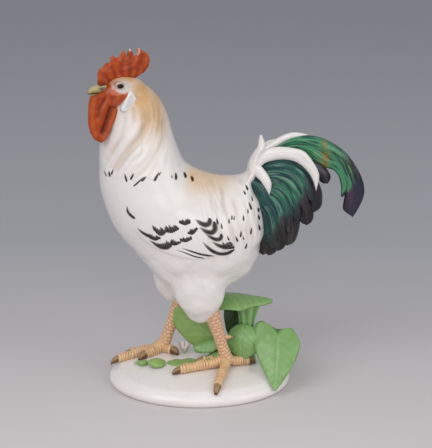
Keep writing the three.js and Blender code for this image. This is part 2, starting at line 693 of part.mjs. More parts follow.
const OVAL_LEAF = [0.25, 0.7, 0.95, 1, 0.85, 0.5, 0.06];
const LEAVES = {
  leaf_top: {
    root: stemPoint(-21, 4, STEM_HEIGHT + 5), azimuth: -9, climb: -3, bend: 20, length: 40, width: 38,
    widths: [0.95, 1, 0.85, 0.68, 0.52, 0.34, 0.05], roll: -38, cup: -0.25,
  },
  leaf_fold: {
    root: stemPoint(-2, -4, 0.72 * STEM_HEIGHT), azimuth: -112, climb: -30, bend: 80, length: 30, width: 18,
    widths: [0.5, 0.85, 1, 1, 0.8, 0.5, 0.1], cup: -0.3,
  },
  leaf_heart: {
    root: HEART_ROOT, azimuth: -97, climb: -46, bend: 12, length: 38.5, width: 31,
    widths: [0.74, 1, 0.95, 0.8, 0.58, 0.32, 0.05], cup: -0.12, lobe: 8,
  },
  leaf_upright: {
    root: stemPoint(-22, 6, 0.28 * STEM_HEIGHT), azimuth: 176, climb: 36, bend: -16, length: 37, width: 24,
    widths: OVAL_LEAF, roll: -70, cup: 0.15,
  },
  leaf_rolled: {
    root: stemPoint(-16, 0, 0.4 * STEM_HEIGHT), azimuth: 196, climb: -22, bend: 8, length: 24, width: 13,
    widths: [0.8, 1, 1, 0.95, 0.8, 0.5, 0.1], cup: 0.9,
  },
  leaf_low: {
    root: stemPoint(-14, -4, 0.22 * STEM_HEIGHT), azimuth: 200, climb: -12, bend: 10, length: 28, width: 16,
    widths: OVAL_LEAF, cup: 0.2, roll: 20,
  },
  leaf_ground: {
    root: onGround(2, -6, 1.2), azimuth: 172, climb: -4, bend: 4, length: 22, width: 12,
    widths: OVAL_LEAF, cup: 0.1,
  },
  leaf_bud: {
    root: onGround(-26, -6, 1.8), azimuth: 196, climb: 14, bend: 34, length: 13, width: 11,
    widths: OVAL_LEAF, cup: 0.25,
  },
  leaf_small: {
    root: onGround(-37, -4, 1.4), azimuth: 182, climb: 6, bend: 12, length: 8, width: 4.5,
    widths: OVAL_LEAF, cup: 0.1,
  },
  leaf_rear: {
    root: onGround(30, -3, 3), azimuth: -40, climb: -6, bend: 6, length: 16, width: 14,
    widths: OVAL_LEAF, cup: 0.1,
  },
};

// Stalk on the left that carries the upright and the rolled leaf
function sideStalkForm() {
  const foot = onGround(STEM_PLACE.x - 24, STEM_PLACE.y + 6, -2);
  return bar(
    [foot, foot.clone().add(point(2, 0.5, 9)), stemPoint(-21, 6, 0.34 * STEM_HEIGHT)],
    halves([1.4, 1.1, 0.8], PETIOLE_DIAMETER),
    TOE_SIDES,
  );
}

function flowerForm() {
  const radius = FLOWER_DIAMETER / 2;
  const profile = [[0, -0.2], [0.35, -0.2], [0.5, 0.4], [0.95, 0.85], [1, 1], [0.6, 0.8], [0, 0.65]];
  const points = profile.map(([out, rise]) => new THREE.Vector2(out * radius, rise * FLOWER_HEIGHT));
  const geometry = bare(new THREE.LatheGeometry(points, 10));
  geometry.rotateX(Math.PI / 2);
  return geometry.translate(...onGround(FLOWER_PLACE.x, FLOWER_PLACE.y, 0).toArray());
}

// Assembly: a piece is cut back to a luting seam by every piece that was set before it
const rooster = new THREE.Group();
const placed = [];

function set(name, finish, forms, finished = null) {
  let solid = finished ?? unionOf(forms);
  const room = new THREE.Box3();
  for (const form of forms) room.union(new THREE.Box3().setFromBufferAttribute(form.attributes.position));
  for (const earlier of placed) {
    if (earlier.room.clone().expandByScalar(LUTING_GAP).intersectsBox(room)) {
      for (const form of earlier.forms) solid = solid.subtract(solidOf(grown(form, LUTING_GAP)));
    }
  }
  const mesh = new THREE.Mesh(geometryOf(largestOf(solid)), finish);
  mesh.name = name;
  rooster.add(mesh);
  placed.push({ room, forms });
}

set('base', MOUND_WHITE, [moundForm()]);

const hollow = solidOf(trunkForm(SHELL_WALL, TRUNK.slice(1, -1), HOLLOW_SIDES));
const vent = bare(new THREE.CylinderGeometry(VENT_DIAMETER / 2, VENT_DIAMETER / 2, BODY_HEIGHT, 10));
vent.rotateX(Math.PI / 2).translate(...trunkPoint(0.63, 0).toArray());
const trunk = solidOf(trunkGeometry).subtract(hollow).subtract(solidOf(vent));
const seams = { body: slab(SEAM_Z - LUTING_GAP / 2, false), neck: slab(SEAM_Z + LUTING_GAP / 2, true) };

for (const [name, seam] of [['body_shell', seams.body], ['neck_shell', seams.neck]]) {
  const mesh = new THREE.Mesh(geometryOf(largestOf(trunk.intersect(seam))), WHITE);
  mesh.name = name;
  rooster.add(mesh);
}
const trunkRoom = new THREE.Box3().setFromBufferAttribute(trunkGeometry.attributes.position);
placed.push({ room: trunkRoom, forms: [trunkGeometry] });

set('head', COMB_RED, [headForm()]);
set('beak', BEAK_HORN, [beakForm()]);
set('comb', COMB_RED, [combForm()]);
for (const [sideName, side] of [['left', -1], ['right', 1]]) {
  set(`wattle_${sideName}`, COMB_RED, [wattleForm(side)]);
  set(`earlobe_${sideName}`, LOBE_WHITE, [earlobeForm(side)]);
  const wing = largestOf(wingSolid(side));
  set(`wing_${sideName}`, WHITE, [geometryOf(wing)], wing);
}

for (const [sideName, thigh] of Object.entries(THIGHS)) {
  set(`thigh_${sideName}`, WHITE, [thighForm(thigh)]);
}

const FEET = {
  left: {
    thigh: THIGHS.left, heel: LEFT_HEEL,
    headings: { middle: 200, outer: 258, inner: 178, hind: 20 },
  },
  right: {
    thigh: THIGHS.right, heel: RIGHT_HEEL,
    headings: { middle: 199, outer: 186, inner: 222, hind: -42 },
  },
};
const TOE_LENGTHS = {
  left: {
    middle: MIDDLE_TOE_LENGTH, outer: OUTER_TOE_LENGTH,
    inner: INNER_TOE_LENGTH, hind: HIND_TOE_LENGTH,
  },
  right: {
    middle: 0.95 * MIDDLE_TOE_LENGTH, outer: 0.7 * OUTER_TOE_LENGTH,
    inner: INNER_TOE_LENGTH, hind: 0.6 * HIND_TOE_LENGTH,
  },
};

for (const [sideName, { thigh, heel, headings }] of Object.entries(FEET)) {
  set(`shank_${sideName}`, LEG_TAN, [shankForm(thigh, heel)]);
  for (const [toe, heading] of Object.entries(headings)) {
    set(`toe_${sideName}_${toe}`, LEG_TAN, [toeForm(heel, heading, TOE_LENGTHS[sideName][toe])]);
  }
  set(`spur_${sideName}`, LEG_TAN, [spurForm(thigh, heel)]);
}

set('tail_fan', TAIL_BLACK, fanForms());
set('tail_spike', WHITE, [spikeForm()]);
set('sickle_green', SICKLE_GREEN, [sickleForm()]);
set('sickle_white', WHITE, [sickleWhiteForm()]);
for (const [sideName, side] of [['left', -1], ['right', 1]]) {
  set(`coverts_${sideName}`, TEAL, covertForms(side));
  set(`crescent_${sideName}`, WHITE, [crescentForm(side)]);
  set(`plume_${sideName}`, WHITE, [plumeForm(side)]);
}

set('plant_stem', LEAF_GREEN, stemForms());
set('side_stalk', LEAF_GREEN, [sideStalkForm()]);
for (const [name, leaf] of Object.entries(LEAVES)) set(name, LEAF_GREEN, [leafForm(leaf)]);
set('flower', BLOSSOM, [flowerForm()]);

export default rooster;
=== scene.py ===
"""Looks of a glazed porcelain rooster that stands on a mound among leaves.

Lengths are millimetres in the model's frame: the bird looks along -X, its left side faces -Y and
the mound's underside is Z = 0. Blender gets them in metres through the one constant MM.
"""

import math
from types import SimpleNamespace

import bmesh
import bpy
import numpy as np
from mathutils import Matrix, Vector
from mathutils.bvhtree import BVHTree


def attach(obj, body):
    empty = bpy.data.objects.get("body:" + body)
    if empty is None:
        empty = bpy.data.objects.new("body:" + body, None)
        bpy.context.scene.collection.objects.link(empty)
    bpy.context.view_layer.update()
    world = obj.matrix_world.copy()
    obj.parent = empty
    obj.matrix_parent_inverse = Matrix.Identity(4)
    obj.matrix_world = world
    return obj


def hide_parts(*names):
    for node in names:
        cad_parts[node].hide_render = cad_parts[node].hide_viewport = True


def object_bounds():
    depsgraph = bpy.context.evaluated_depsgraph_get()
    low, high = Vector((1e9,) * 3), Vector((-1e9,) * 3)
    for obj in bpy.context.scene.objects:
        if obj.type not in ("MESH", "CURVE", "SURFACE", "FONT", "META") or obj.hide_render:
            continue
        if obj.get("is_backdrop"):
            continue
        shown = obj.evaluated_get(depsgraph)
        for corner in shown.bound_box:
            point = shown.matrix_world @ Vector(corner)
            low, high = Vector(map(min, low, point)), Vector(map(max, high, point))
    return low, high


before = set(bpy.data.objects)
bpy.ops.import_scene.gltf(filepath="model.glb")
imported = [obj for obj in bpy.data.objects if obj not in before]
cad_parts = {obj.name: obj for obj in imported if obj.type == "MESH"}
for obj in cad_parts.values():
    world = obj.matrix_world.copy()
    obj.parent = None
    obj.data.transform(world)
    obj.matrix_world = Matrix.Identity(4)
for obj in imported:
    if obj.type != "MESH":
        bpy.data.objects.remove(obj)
CAD_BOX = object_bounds()

bl_info = {
    "name": "Porcelain rooster",
    "version": (1, 0, 0),
    "blender": (4, 5, 0),
    "location": "3D View > Sidebar > Rooster",
    "description": "Builds a glazed porcelain rooster on a mound, piece by piece",
    "category": "Add Mesh",
}

MM = 0.001
BODY = "root"
SIDES = {"left": -1, "right": 1}


def linear(code):
    """Linear colour of an sRGB hex value."""
    parts = [int(code[i : i + 2], 16) / 255 for i in (1, 3, 5)]
    return tuple(c / 12.92 if c <= 0.04045 else ((c + 0.055) / 1.055) ** 2.4 for c in parts)


# Settings


def length(name, description, default, low=0.0):
    """A length property, written here in millimetres and kept in metres."""
    size = {"default": default * MM, "min": low * MM, "subtype": "DISTANCE", "precision": 5}
    return bpy.props.FloatProperty(name=name, description=description, **size)


def number(name, description, default, unit="NONE"):
    """A plain number property."""
    return bpy.props.FloatProperty(name=name, description=description, default=default, unit=unit)


def colour(name, description, code):
    """A colour property from an sRGB hex value."""
    return bpy.props.FloatVectorProperty(
        name=name, description=description, subtype="COLOR", size=3, default=linear(code), min=0, max=1
    )


class RoosterSizes(bpy.types.PropertyGroup):
    """Relief and thickness of the modelled clay."""

    skin_pitch: length("Skin pitch", "Mesh size of the bird's skin", 0.85, 0.4)
    strand_relief: length("Strand relief", "Depth of the feather strands", 0.2)
    fold_depth: length("Neck fold depth", "Depth of the S-shaped fold in the hackle", 1.5)
    wing_relief: length("Wing relief", "How far the wing stands off the body", 0.9)
    contour_relief: length("Contour relief", "Lumps of the belly and thigh feathers", 0.7)
    rump_relief: length("Rump relief", "How far the rump's feathers lap over the tail", 2.2)
    vane_lines: length("Vane lines", "Distance between the lines along a tail feather", 1.5, 0.5)
    vane_relief: length("Vane relief", "Depth of the lines along a tail feather", 0.22)
    scale_rows: length("Scale rows", "Height of a row of scales on the shank", 2.7, 1.0)
    toe_rows: length("Toe rows", "Length of a toe's cross scale", 1.9, 1.0)
    scale_relief: length("Scale relief", "How far the scales stand out", 0.4)
    comb_thickness: length("Comb thickness", "Thickness of the comb", 5.0, 1.0)
    wattle_thickness: length("Wattle thickness", "Thickness of a wattle", 5.0, 1.0)
    leaf_thickness: length("Leaf thickness", "Thickness of a leaf", 2.5, 0.5)
    brush_height: length("Brush height", "How far brushed enamel stands on the glaze", 0.12)


class RoosterColours(bpy.types.PropertyGroup):
    """Glaze and enamel colours."""

    white: colour("White", "Glazed white porcelain", "#ECE7E3")
    mound: colour("Mound", "Glazed white of the mound", "#F3EEEB")
    hackle: colour("Hackle", "Ochre wash on the nape", "#CFA673")
    saddle: colour("Saddle", "Ochre wash on the saddle", "#DDB98F")
    stroke: colour("Strokes", "Brown-black brush strokes", "#1E1813")
    comb: colour("Comb", "Iron red of comb, face and wattles", "#AD400E")
    # Paler iron red at random, and painted highlight on the ridges and edges of comb and wattles
    comb_light: colour("Comb light", "Thin iron red on ridges", "#DA6A28")
    # Deeper iron red at random and in the nostrils, and painted shade in the folds of comb and wattles
    comb_dark: colour("Comb dark", "Iron red that pools in folds", "#521604")
    beak: colour("Beak", "Horn yellow of the beak", "#B5A56F")
    eye: colour("Eye", "Iris of the eye", "#4A2C18")
    lobe: colour("Earlobe", "Grey-blue edge of the earlobe", "#AEB4C4")
    leg: colour("Leg", "Flesh tan of the shanks", "#EABB98")
    toe: colour("Toe", "Yellow tan of the toes", "#E8C590")
    leg_line: colour("Leg lines", "Brick lines between the scales", "#B5714C")
    toe_line: colour("Toe lines", "Brown lines across the toes", "#97693A")
    claw: colour("Claw", "Horn brown of the claws", "#6A4526")
    teal: colour("Teal", "Blue-green of the coverts", "#154B49")
    green: colour("Green", "Grass green of the coverts and the sickle", "#438C63")
    black: colour("Tail black", "Black of the tail's ends", "#161617")
    purple: colour("Tail purple", "Purple over the black", "#43283F")
    repair: colour("Old repair", "Ochre patch on the sickle", "#94762C")
    leaf: colour("Leaf", "Leaf green", "#84B06A")
    vein: colour("Vein", "Pale green of the leaf veins", "#A9CC88")
    # Deeper green at random, and painted shade along the midribs and in the grooves of the stalks
    leaf_dark: colour("Leaf shade", "Green that pools in the folds", "#47803F")
    petal: colour("Petal", "Pink white of the flower", "#EFE2E0")
    petal_dark: colour("Petal stroke", "Purple stroke on the petals", "#7A3F6C")


class RoosterStage(bpy.types.PropertyGroup):
    """Floor, light and camera."""

    floor_near: colour("Floor near", "Floor colour before the object", "#D9D3D3")
    floor_mid: colour("Floor middle", "Floor colour under the object", "#D0CBCC")
    floor_back: colour("Floor back", "Floor colour behind the object", "#B1B2B7")
    floor_far: colour("Floor far", "Floor colour in the distance", "#A6A7AE")
    key_power: number("Key power", "Power of the key softbox", 7.0, "POWER")
    front_power: number("Front power", "Power of the softbox over the camera", 6.9, "POWER")
    fill_power: number("Fill power", "Power of the fill softbox", 4.2, "POWER")
    world_strength: number("World strength", "Strength of the even room light", 0.5)


def sizes():
    """The size settings of the scene in millimetres."""
    settings = bpy.context.scene.rooster_sizes
    return SimpleNamespace(**{key: getattr(settings, key) / MM for key in RoosterSizes.__annotations__})


def tint(name, strength=1.0):
    """A colour setting or an sRGB hex value as an array, deepened below a strength of 1."""
    if name.startswith("#"):
        return np.array(linear(name)) * strength
    return np.array(getattr(bpy.context.scene.rooster_colours, name)) * strength


# Numbers


def step(value, low, high):
    """0 at low, 1 at high and an even turn between them."""
    share = np.clip((value - low) / (high - low), 0, 1)
    return share * share * (3 - 2 * share)


def window(value, rise, fall):
    """1 between a rise and a fall, each given by the values where it starts and ends."""
    return step(value, *rise) * (1 - step(value, *fall))


def bump(distance, width):
    """1 at no distance, falling away over a width."""
    return np.exp(-((distance / width) ** 2))


def along(points, shares):
    """Places on a smooth line through the points, at shares of its length."""
    points = np.asarray(points, float)
    table = points if points.ndim > 1 else points[:, None]
    ends = np.vstack([2 * table[0] - table[1], table, 2 * table[-1] - table[-2]])
    place = np.clip(shares, 0, 1) * (len(table) - 1)
    i = np.minimum(place.astype(int), len(table) - 2)
    t = (place - i)[:, None]
    a, b, c, d = (ends[i + k] for k in range(4))
    line = b + t * (c - a) / 2 + t**2 * (2 * a - 5 * b + 4 * c - d) / 2 + t**3 * (3 * b - a - 3 * c + d) / 2
    return line if points.ndim > 1 else line[:, 0]


def spun(angle):
    """Axes turned about Z, as the columns of a matrix."""
    cosine, sine = math.cos(angle), math.sin(angle)
    return np.array([[cosine, -sine, 0], [sine, cosine, 0], [0, 0, 1]])


def run_of(line):
    """Distance run along a line at each of its points."""
    return np.r_[0, np.cumsum(np.linalg.norm(np.diff(line, axis=0), axis=1))]


def headings(line):
    """Unit directions along a line."""
    ahead = np.gradient(line, axis=0)
    return ahead / np.linalg.norm(ahead, axis=1)[:, None]


def sideways(line):
    """Unit directions across a line in a plane."""
    ahead = headings(line)
    return np.stack([-ahead[:, 1], ahead[:, 0]], axis=1)


def evened(points, count):
    """A smooth line through the points, cut evenly."""
    fine = along(points, np.linspace(0, 1, 12 * len(points)))
    run = run_of(fine)
    wanted = np.linspace(0, run[-1], count)
    return np.stack([np.interp(wanted, run, axis) for axis in fine.T], axis=1)


# Multipliers that scatter the cells of the noise
SCATTER = (73856093, 19349663, 83492791)


def lumps(points, size, seed=0):
    """Smooth noise between -1 and 1, with lumps of a size."""
    place = np.asarray(points, float) / size + 31.7 * seed + 100
    cell = np.floor(place).astype(np.int64)
    share = place - cell
    share = share * share * (3 - 2 * share)
    total = np.zeros(len(place))
    for corner in np.ndindex(2, 2, 2):
        code = np.bitwise_xor.reduce((cell + corner) * SCATTER, axis=1)
        code = (code * 1103515245 + 12345) & 0x7FFFFFFF
        code = ((code >> 7) * 48271) & 0x7FFFFFFF
        weight = np.prod(np.where(corner, share, 1 - share), axis=1)
        total += weight * ((code % 20011) / 10005.5 - 1)
    return total


def from_line(places, line):
    """Distance of places in a plane from a line, and the share of the line there."""
    line = np.asarray(line, float)
    nearest = np.full(len(places), np.inf)
    share = np.zeros(len(places))
    for i, (a, b) in enumerate(zip(line[:-1], line[1:])):
        t = np.clip((places - a) @ (b - a) / ((b - a) @ (b - a)), 0, 1)
        distance = np.linalg.norm(places - a - t[:, None] * (b - a), axis=1)
        closer = distance < nearest
        nearest = np.where(closer, distance, nearest)
        share = np.where(closer, (i + t) / (len(line) - 1), share)
    return nearest, share


def inside(places, outline):
    """Which places in a plane are within an outline."""
    outline = np.asarray(outline, float)
    crossings = np.zeros(len(places), int)
    x, y = places.T
    for (ax, ay), (bx, by) in zip(outline, np.roll(outline, -1, axis=0)):
        spans = (ay > y) != (by > y)
        cross = ax + (y - ay) * (bx - ax) / (by - ay if by != ay else 1)
        crossings += spans & (x < cross)
    return crossings % 2 == 1


def cloud(points, size, seed):
    """Smooth noise between 0 and 1."""
    return 0.5 + 0.5 * lumps(points, size, seed)


def mixed(base, other, share):
    """Colours turned from a base towards another by a share."""
    return base + (other - base) * np.atleast_1d(np.clip(share, 0, 1))[:, None]


def plain(points, name):
    """One colour at each point."""
    return np.repeat(tint(name)[None], len(points), axis=0)


def painted(paint, *washes):
    """Colours under washes: each has a colour's name, its share and, if it is deepened, a strength."""
    for name, share, *strength in washes:
        paint = mixed(paint, tint(name, *strength), share)
    return paint


# Forms


def normals_of(points, faces):
    """Vertex normals. A triangle is a face that names its last corner twice."""
    a, b, c, d = (points[faces[:, k]] for k in range(4))
    across = np.cross(c - a, d - b)
    flat = (faces[:, 2] == faces[:, 3])[:, None]
    across = np.where(flat, np.cross(b - a, c - a), across)
    total = np.zeros_like(points)
    for corner in range(4):
        for axis in range(3):
            total[:, axis] += np.bincount(faces[:, corner], across[:, axis], len(points))
    return total / np.maximum(np.linalg.norm(total, axis=1), 1e-12)[:, None]


def eased(points, faces, rounds):
    """Points moved half way towards the middle of their neighbours."""
    pairs = np.vstack([faces[:, [k, (k + 1) % 4]] for k in range(4)])
    pairs = pairs[pairs[:, 0] != pairs[:, 1]]
    here, there = np.vstack([pairs, pairs[:, ::-1]]).T
    count = np.maximum(np.bincount(here, minlength=len(points)), 1)[:, None]
    for _ in range(rounds):
        near = np.stack([np.bincount(here, axis[there], len(points)) for axis in points.T], axis=1)
        points = points + 0.5 * (near / count - points)
    return points


def raised(points, faces, lift):
    """Points moved out along their normals."""
    return points + normals_of(points, faces) * lift[:, None]


def tube(rings):
    """Closed form over rings of points, as points and faces that look outwards."""
    rings = np.asarray(rings, float)
    count, sides, _ = rings.shape
    points = np.vstack([rings.reshape(-1, 3), rings[0].mean(0), rings[-1].mean(0)])
    row = np.arange(count - 1)[:, None] * sides
    here = np.arange(sides)[None, :]
    there = (here + 1) % sides
    walls = np.stack([row + here, row + there, row + sides + there, row + sides + here], -1).reshape(-1, 4)
    here, there = here[0], there[0]
    first = np.full(sides, count * sides)
    last = (count - 1) * sides
    start = np.stack([first, there, here, here], 1)
    end = np.stack([first + 1, last + here, last + there, last + there], 1)
    faces = np.vstack([walls, start, end])
    centre = points.mean(0)
    a, b, c = (points[walls[:, k]] - centre for k in range(3))
    if np.einsum("ij,ij->i", a, np.cross(b, c)).sum() < 0:
        faces = faces[:, [1, 0, 3, 2]]
    return points, faces


def joined(parts):
    """Several forms with their colours as one."""
    shift = 0
    points, faces, paints = [], [], []
    for part, walls, *paint in parts:
        points.append(part)
        faces.append(walls + shift)
        paints.append(paint[0] if paint else np.zeros((len(part), 3)))
        shift += len(part)
    return np.vstack(points), np.vstack(faces), np.vstack(paints)


def mesh_of(name, points, faces):
    """A Blender mesh in metres."""
    mesh = bpy.data.meshes.new(name)
    corners = [row[:3] if row[2] == row[3] else row for row in faces.tolist()]
    mesh.from_pydata((points * MM).tolist(), [], corners)
    shell = bmesh.new()
    shell.from_mesh(mesh)
    bmesh.ops.recalc_face_normals(shell, faces=shell.faces)
    shell.to_mesh(mesh)
    shell.free()
    mesh.update()
    return mesh


def arrays_of(mesh):
    """Points in millimetres and faces of a mesh of triangles and quads."""
    points = np.zeros(len(mesh.vertices) * 3)
    mesh.vertices.foreach_get("co", points)
    corners = [list(face.vertices) for face in mesh.polygons]
    faces = np.array([row if len(row) == 4 else [*row, row[-1]] for row in corners])
    return points.reshape(-1, 3) / MM, faces


def fused(parts, pitch):
    """One closed skin over overlapping forms."""
    points, faces, _ = joined(parts)
    mesh = mesh_of("clay", points, faces)
    clay = bpy.data.objects.new("clay", mesh)
    bpy.context.scene.collection.objects.link(clay)
    remesh = clay.modifiers.new("skin", "REMESH")
    remesh.mode = "VOXEL"
    remesh.voxel_size = pitch * MM
    copy = bpy.data.meshes.new_from_object(clay.evaluated_get(bpy.context.evaluated_depsgraph_get()))
    result = arrays_of(copy)
    bpy.data.objects.remove(clay)
    bpy.data.meshes.remove(mesh)
    bpy.data.meshes.remove(copy)
    return result


def refined(points, faces, wanted):
    """The skin with its faces halved where all their corners are wanted."""
    mesh = mesh_of("fine", points, faces)
    shell = bmesh.new()
    shell.from_mesh(mesh)
    shell.verts.ensure_lookup_table()
    edges = [e for e in shell.edges if wanted[e.verts[0].index] and wanted[e.verts[1].index]]
    bmesh.ops.subdivide_edges(shell, edges=edges, cuts=1, use_grid_fill=True)
    bmesh.ops.triangulate(shell, faces=[f for f in shell.faces if len(f.verts) > 4])
    shell.to_mesh(mesh)
    shell.free()
    result = arrays_of(mesh)
    bpy.data.meshes.remove(mesh)
    return result


def make(name, form, kind, slot, *nodes):
    """A painted piece that rides on the figure and stands for CAD nodes."""
    points, faces, paint = form
    mesh = mesh_of(name, points, faces)
    mesh.shade_smooth()
    mesh.materials.append(finish(kind))
    layer = mesh.color_attributes.new("enamel", "FLOAT_COLOR", "POINT")
    values = np.hstack([np.clip(paint, 0, 1), np.ones((len(points), 1))])
    layer.data.foreach_set("color", values.ravel())
    mesh.color_attributes.render_color_index = 0
    mesh.color_attributes.active_color_index = 0
    piece = bpy.data.objects.new(name, mesh)
    bpy.context.scene.collection.objects.link(piece)
    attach(piece, BODY)
    if nodes:
        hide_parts(*nodes)


def ring_angles(sides, rings=1):
    """The angle of each point of a tube's rings, and of its two ends where it has many rings."""
    angle = np.linspace(0, math.tau, sides, endpoint=False)
    return angle if rings == 1 else np.r_[np.tile(angle, rings), 0, 0]


def around(upper, lower):
    """Rings over the two faces of a sheet, or their values, without naming its edges twice."""
    return np.concatenate([upper, lower[:, -2:0:-1]], axis=1)


def loft(centres, across, through, sides):
    """Closed form over ovals, from their centres and their two half axes."""
    angle = ring_angles(sides)[None, :, None]
    return tube(centres[:, None] + np.cos(angle) * across[:, None] + np.sin(angle) * through[:, None])


def bar(path, radii, rings, sides):
    """Round bar along a path, with its length and its angle at each point."""
    line = evened(path, rings)
    heading = headings(line)
    flat = np.cross(heading, [0, 1.0, 0])
    flat /= np.linalg.norm(flat, axis=1)[:, None]
    through = np.cross(heading, flat)
    radius = along(radii, np.linspace(0, 1, rings))[:, None]
    points, faces = loft(line, flat * radius, through * radius, sides)
    run = run_of(line)
    return points, faces, np.r_[np.repeat(run, sides), run[0], run[-1]], ring_angles(sides, rings)


# Finishes


def bare_material(name):
    """A material with an empty node tree."""
    material = bpy.data.materials.new(name)
    material.use_nodes = True
    material.node_tree.nodes.clear()
    return material


def add_node(material, kind, settings=(), links=()):
    """A shader node with its settings and the outputs that it takes."""
    node = material.node_tree.nodes.new(kind)
    for key, value in dict(settings).items():
        if isinstance(key, str) and hasattr(node, key):
            setattr(node, key, value)
        else:
            node.inputs[key].default_value = value
    for key, source in dict(links).items():
        material.node_tree.links.new(source, node.inputs[key])
    return node


# Glazes: the material's name, roughness, size of the mottle in mm, its depth of shade, size and depth of
# the pits in mm, weight of the clear coat and IOR
GLAZES = {
    # Hard-paste porcelain, cast and glazed: clear, even and very smooth, with faint orange peel
    "white_porcelain": ("glazed_hard_paste_porcelain", 0.3, 14, 0.03, 1.6, 0.012, 0.3, 1.45),
    # Iron-red enamel brushed over pressed clay, fairly dull; its colours carry painted highlight on the
    # ridges and painted shade in the folds
    "iron_red": ("iron_red_enamel_over_glaze", 0.42, 2.2, 0.22, 0.9, 0.05, 0.05, 1.38),
    # Horn and flesh enamels, brushed in thin coats on scaled clay
    "flesh": ("flesh_enamel_over_glaze", 0.4, 2.6, 0.12, 0.8, 0.03, 0.15, 1.45),
    # Copper-green enamels over ribbed clay, with a wet look where they lie thick
    "copper_green": ("copper_green_enamel_over_glaze", 0.3, 3.0, 0.2, 1.0, 0.03, 0.2, 1.45),
    # Leaf-green enamel on rolled clay leaves: thin and soft
    "leaf_green": ("leaf_green_enamel_over_glaze", 0.38, 5.0, 0.14, 1.1, 0.03, 0.25, 1.45),
    # Manganese-black enamel, one brush stroke thick: it dries dull and has no coat of glaze over it
    "manganese": ("manganese_enamel_stroke", 0.5, 0.9, 0.3, 0.6, 0.02, 0.0, 1.3),
}


def glazed(name, roughness, mottle_mm, mottle, pit_mm, pit_depth, coat, ior):
    """Painted clay under a clear glaze. The colours are the enamel that each piece carries, and on some
    pieces painted highlight and shade.
    """
    material = bare_material(name)
    enamel = add_node(material, "ShaderNodeVertexColor", {"layer_name": "enamel"})
    place = {"Vector": add_node(material, "ShaderNodeTexCoord").outputs["Object"]}
    scale = {"Scale": 1 / (mottle_mm * MM), "Detail": 4.0, "Roughness": 0.6}
    mottled = {"Value": add_node(material, "ShaderNodeTexNoise", scale, place).outputs["Fac"]}
    limits = {"From Min": 0.3, "From Max": 0.7}
    light = {**limits, "To Min": 1 - mottle, "To Max": 1.0}
    shade = add_node(material, "ShaderNodeMapRange", light, mottled)
    dull = {**limits, "To Min": roughness * 0.8, "To Max": roughness * 1.3}
    gloss = add_node(material, "ShaderNodeMapRange", dull, mottled)
    multiply = {"data_type": "RGBA", "blend_type": "MULTIPLY", 0: 1.0}
    layers = {6: enamel.outputs["Color"], 7: shade.outputs["Result"]}
    body = add_node(material, "ShaderNodeMix", multiply, layers)
    pits = add_node(material, "ShaderNodeTexNoise", {"Scale": 1 / (pit_mm * MM), "Detail": 3.0}, place)
    depth = {"Strength": 1.0, "Distance": pit_depth * MM}
    relief = add_node(material, "ShaderNodeBump", depth, {"Height": pits.outputs["Fac"]})
    surface = {"IOR": ior, "Coat Weight": coat, "Coat Roughness": 0.12, "Coat IOR": 1.5}
    look = {
        "Base Color": body.outputs[2],
        "Roughness": gloss.outputs["Result"],
        "Normal": relief.outputs["Normal"],
    }
    shader = add_node(material, "ShaderNodeBsdfPrincipled", surface, look)
    add_node(material, "ShaderNodeOutputMaterial", links={"Surface": shader.outputs["BSDF"]})
    return material


def finish(kind):
    """One of the figure's finishes, made when it is first asked for."""
    return bpy.data.materials.get(GLAZES[kind][0]) or glazed(*GLAZES[kind])


# Trunk, neck and head


BASE_LENGTH, BASE_WIDTH, BASE_EDGE, BASE_CROWN = 130, 100, 8.5, 15.5
FRONT_X, TRUNK_LENGTH, TRUNK_HEIGHT, TRUNK_WIDTH, NECK_HEIGHT = -69, 113, 91, 72, 61


def ground(x, y):
    """Height of the mound's top."""
    out = (2 * x / BASE_LENGTH) ** 2 + (2 * y / BASE_WIDTH) ** 2
    return BASE_EDGE + (BASE_CROWN - BASE_EDGE) * np.maximum(0, 1 - out) ** 0.8


LEFT_HEEL, RIGHT_HEEL = (20, -9), (-27, 19)
BELLY_Z = float(ground(*LEFT_HEEL)) + 57

# Trunk stations: shares of length and height of a front or belly point and of a back point, then
# the share of the half width
TRUNK = [
    (1, 0.48, 0.97, 0.76, 0.3),
    (0.98, 0.27, 0.912, 0.94, 0.62),
    (0.905, 0.12, 0.84, 0.91, 0.83),
    (0.75, 0.02, 0.735, 0.905, 0.96),
    (0.558, 0, 0.62, 0.945, 1),
    (0.38, 0.055, 0.53, 1.016, 1),
    (0.25, 0.26, 0.5, 1.115, 0.96),
    (0.128, 0.435, 0.478, 1.22, 0.92),
    (0.05, 0.615, 0.456, 1.328, 0.86),
    (0.004, 0.824, 0.434, 1.443, 0.78),
    (0, 1, 0.412, 1.54, 0.69),
    (0.009, 1.246, 0.38, 1.672, 0.6),
    (0.044, 1.475, 0.345, 1.803, 0.5),
    (0.07, 1.656, 0.3, 1.902, 0.42),
    (0.1, 1.787, 0.24, 1.96, 0.29),
]


def trunk_point(u, v, y=0.0):
    """A place from shares of the trunk's length and height. Above 1 the height runs up the neck."""
    rise = v * TRUNK_HEIGHT if v <= 1 else TRUNK_HEIGHT + (v - 1) * NECK_HEIGHT
    return np.array([FRONT_X + u * TRUNK_LENGTH, y, BELLY_Z + rise])


def trunk_form():
    """The trunk and neck as one smooth loft."""
    table = [[*trunk_point(a, b), *trunk_point(c, d), w * TRUNK_WIDTH / 2] for a, b, c, d, w in TRUNK]
    rows = along(table, np.linspace(0, 1, 70))
    low, high, half = rows[:, :3], rows[:, 3:6], rows[:, 6:]
    return loft((low + high) / 2, (high - low) / 2, half * [[0, 1, 0]], 72)


HEAD_LENGTH, HEAD_HEIGHT, HEAD_WIDTH = 32, 23, 24
HEAD_AXES = spun(math.radians(22))
HEAD_PLACE = trunk_point(0.168, 1.86, -4)


def from_head(points):
    """Places in the model from places in the head's frame, whose face is along -X."""
    return np.asarray(points, float) @ HEAD_AXES.T + HEAD_PLACE


def in_head(points):
    """Places in the head's frame from places in the model."""
    return (points - HEAD_PLACE) @ HEAD_AXES


